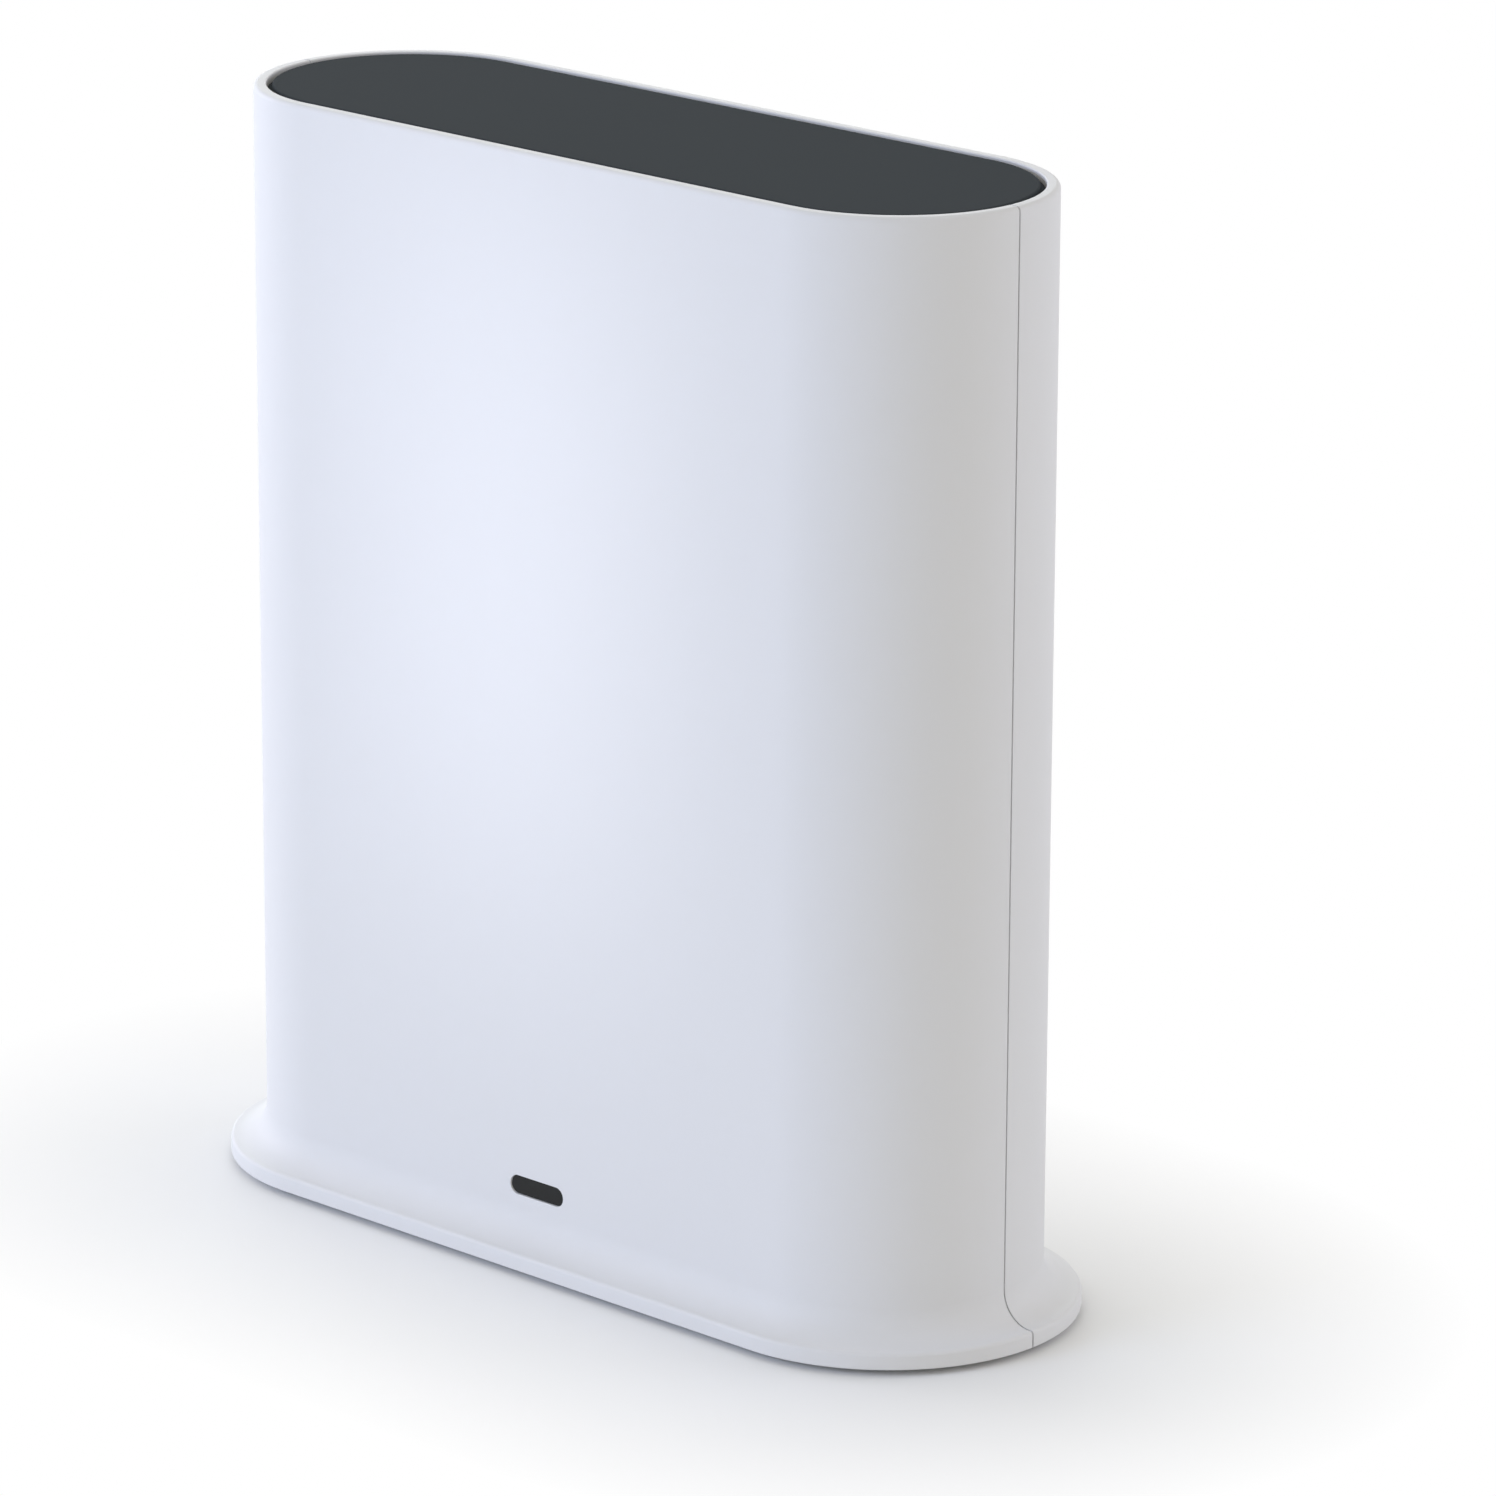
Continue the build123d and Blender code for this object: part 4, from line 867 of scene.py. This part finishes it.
# %% Finish: metals
def metal(name, colour, gloss, lines, depth):
    """Plated or bare metal with faint rolling lines along X."""
    finish = Finish(name, Metallic=1.0)
    stretch = finish.node("ShaderNodeMapping", Vector=finish.place, Scale=(60, 900, 900))
    rolled = finish.noise(lines, 3.0, 0.6, stretch)
    finish.feed("Base Color", finish.blend(rolled, tuple(c * 0.9 for c in colour), colour))
    finish.feed("Roughness", ranged(rolled, *gloss))
    finish.bump(rolled, depth)
    return finish.material


finishes.update({
    "plated_steel": metal("plated_steel", (0.66, 0.66, 0.65), (0.24, 0.40), 2.0, 0.003 * MM),
    "contact_gold": metal("gold_contacts", (0.85, 0.62, 0.28), (0.20, 0.32), 2.0, 0.002 * MM),
    "screw_steel": metal("zinc_screws", (0.48, 0.48, 0.50), (0.30, 0.45), 3.0, 0.004 * MM),
    "sink_aluminium": metal(
        "extruded_aluminium", (0.72, 0.73, 0.74), (0.32, 0.48), 1.5, 0.006 * MM),
})
print("finishes so far:", len(finishes))

# %% Finish: solder mask over the board
TRACK_EDGE = 0.09
board_finish = Finish("green_board", Coat_Weight=0.3, Coat_Roughness=0.2)
weave = board_finish.node(
    "ShaderNodeTexWave", {"wave_type": "BANDS", "bands_direction": "DIAGONAL"},
    Vector=board_finish.place, Scale=260.0, Distortion=2.0)
tracks = board_finish.node(
    "ShaderNodeTexVoronoi", {"feature": "DISTANCE_TO_EDGE", "distance": "CHEBYCHEV"},
    Vector=board_finish.place, Scale=190.0)
track_mask = board_finish.node(
    "ShaderNodeMath", {"operation": "LESS_THAN"}, i0=tracks, i1=TRACK_EDGE)
green = board_finish.blend(
    track_mask * 0.6 + weave * 0.1, (0.010, 0.085, 0.042), (0.030, 0.170, 0.080))
board_finish.feed("Base Color", green)
board_finish.feed("Roughness", ranged(weave, 0.34, 0.46))
board_finish.bump(track_mask, 0.02 * MM)
finishes["board_green"] = board_finish.material
print("all finishes:", sorted(finishes))

# %% [markdown]
# ## Giving each piece its finish
#
# The record lists a material slot for each CAD piece. One table of slots and finishes
# then serves both the pieces of the frame and the new ones.

# %% Assign the finishes
slot_of = {part["node"]: part["material_slot"] for part in frame["record"]["subparts"]}
dressed = [(piece, slot_of[name]) for name, piece in frame["nodes"].items()]
dressed += [(piece, slot_name) for piece, node, body, slot_name in stands_for]
for piece, slot_name in dressed:
    piece.data.materials.clear()
    piece.data.materials.append(finishes[slot_name])
print("finished pieces:", len(dressed))

# %% [markdown]
# ## The floor
#
# The station stands on a pale floor that runs on to pure white. Close to the skirt the
# floor is a real surface that holds the soft shadow; further off it turns to plain white
# for the camera, with no more light on the object. The turn follows the distance from
# the skirt's edge, a stadium like the skirt itself, so the shadow fades evenly on all
# sides.

# %% Floor
FADE = 58 * MM
bm = bmesh.new()
bmesh.ops.create_grid(bm, x_segments=1, y_segments=1, size=4.0)
floor = finished(bm, "studio_floor")
floor_finish = Finish(
    "floor_white", Base_Color=(0.93, 0.93, 0.92, 1), Roughness=0.75, Specular_IOR_Level=0.2)
lip_reach = cad_box[1][1]
straight_half = cad_box[1][0] - lip_reach
along = floor_finish.node("ShaderNodeSeparateXYZ", out="X", Vector=floor_finish.place)
across = floor_finish.node("ShaderNodeSeparateXYZ", out="Y", Vector=floor_finish.place)
past_end = (abs(along) - straight_half).larger(0.0)
away = (past_end * past_end + across * across).root()
fade = floor_finish.node(
    "ShaderNodeMapRange", Value=away, From_Min=lip_reach, From_Max=lip_reach + FADE)
print("floor turns white between", round(lip_reach, 4), "and", round(lip_reach + FADE, 4))

# %% Floor: from its own surface to plain white
tree = floor_finish.tree
white = tree.nodes.new("ShaderNodeEmission")
mixer = tree.nodes.new("ShaderNodeMixShader")
tree.links.new((fade * seen_rays(tree)).socket, mixer.inputs[0])
tree.links.new(floor_finish.shader.outputs[0], mixer.inputs[1])
tree.links.new(white.outputs[0], mixer.inputs[2])
tree.links.new(mixer.outputs[0], tree.nodes["Material Output"].inputs["Surface"])
floor.data.materials.append(floor_finish.material)
print("floor finish:", floor_finish.material.name)

# %% [markdown]
# ## Sky and lamps
#
# The sky is an even, slightly warm grey for the light that it sheds, and pure white
# where the camera sees it, straight or mirrored in a gloss or through glass. Six soft
# lamps shape the object: a cool one in front gives most of the brightness, a narrow one
# adds the glow in the middle of the front, one at the left and two behind round the
# ends, and a large weak one hangs above.

# %% World
SKY = (0.570, 0.548, 0.502)
world = bpy.data.worlds.new("pale_sky")
bpy.context.scene.world = world
world.use_nodes = True
sky = world.node_tree
sky_colour = sky.nodes.new("ShaderNodeMix")
sky_colour.data_type = "RGBA"
sky_colour.inputs[6].default_value = (*SKY, 1)
sky_colour.inputs[7].default_value = (1, 1, 1, 1)
sky.links.new(seen_rays(sky).socket, sky_colour.inputs[0])
sky.links.new(sky_colour.outputs[2], sky.nodes["Background"].inputs["Color"])
print("sky:", SKY)

# %% Lamps
AIM = Vector((-0.012, 0, 0.11))
LAMPS = [
    # name, turn, rise, distance, size, power, colour, spread
    ("front_glow", 11, -3, 1.1, (0.03, 0.12), 0.0048, (0.86, 0.88, 1.0), 6),
    ("front_key", -22, 17, 1.1, (0.5, 0.5), 4.3, (0.51, 0.65, 1.0), 180),
    ("left_side", -86, 14, 1.1, (0.6, 0.6), 3.8, (0.91, 0.90, 1.0), 180),
    ("right_back", 140, 18, 1.1, (0.6, 0.6), 2.5, (0.74, 0.78, 1.0), 180),
    ("top_fill", 0, 90, 1.5, (1.2, 1.2), 1.1, (0.62, 0.80, 1.0), 180),
    ("left_back", -130, 12, 1.1, (0.6, 0.6), 2.4, (0.90, 0.98, 1.0), 180),
]


def soft_lamp(name, turn, rise, distance, size, power, colour, spread):
    """An area lamp aimed at the station. turn is in degrees from the front to the
    right, rise is in degrees above the floor, and a small spread gathers its light."""
    data = bpy.data.lights.new(name, "AREA")
    data.shape, data.size, data.size_y = "RECTANGLE", size[0], size[1]
    data.energy, data.color, data.spread = power, colour, math.radians(spread)
    lamp = bpy.data.objects.new(name, data)
    turn, rise = math.radians(turn), math.radians(rise)
    flat = math.cos(rise)
    away = Vector((math.sin(turn) * flat, -math.cos(turn) * flat, math.sin(rise)))
    lamp.location = AIM + away * distance
    lamp.rotation_euler = away.to_track_quat("Z", "Y").to_euler()
    bpy.context.scene.collection.objects.link(lamp)


for lamp_row in LAMPS:
    soft_lamp(*lamp_row)
print("lamps:", [lamp_row[0] for lamp_row in LAMPS])

# %% [markdown]
# ## The camera
#
# The camera's place was found by matching the rim, the wall's edges, the parting line
# and the skirt of the real object. It is a long lens from a little over a metre, well
# above the top, so the panel shows as a thin dark stadium.

# %% Camera
camera_data = bpy.data.cameras.new("portrait")
camera_data.lens = 190.05
camera_data.clip_end = 20.0
camera = bpy.data.objects.new("portrait", camera_data)
camera.location = (0.78422, -0.81983, 0.41843)
camera.rotation_euler = Euler([math.radians(a) for a in (73.221, -0.249, 43.027)])
bpy.context.scene.collection.objects.link(camera)
bpy.context.scene.camera = camera
bpy.context.scene.view_settings.view_transform = "Standard"
print("camera:", camera_data.lens, "mm lens,", round(camera.location.length, 3), "m away")
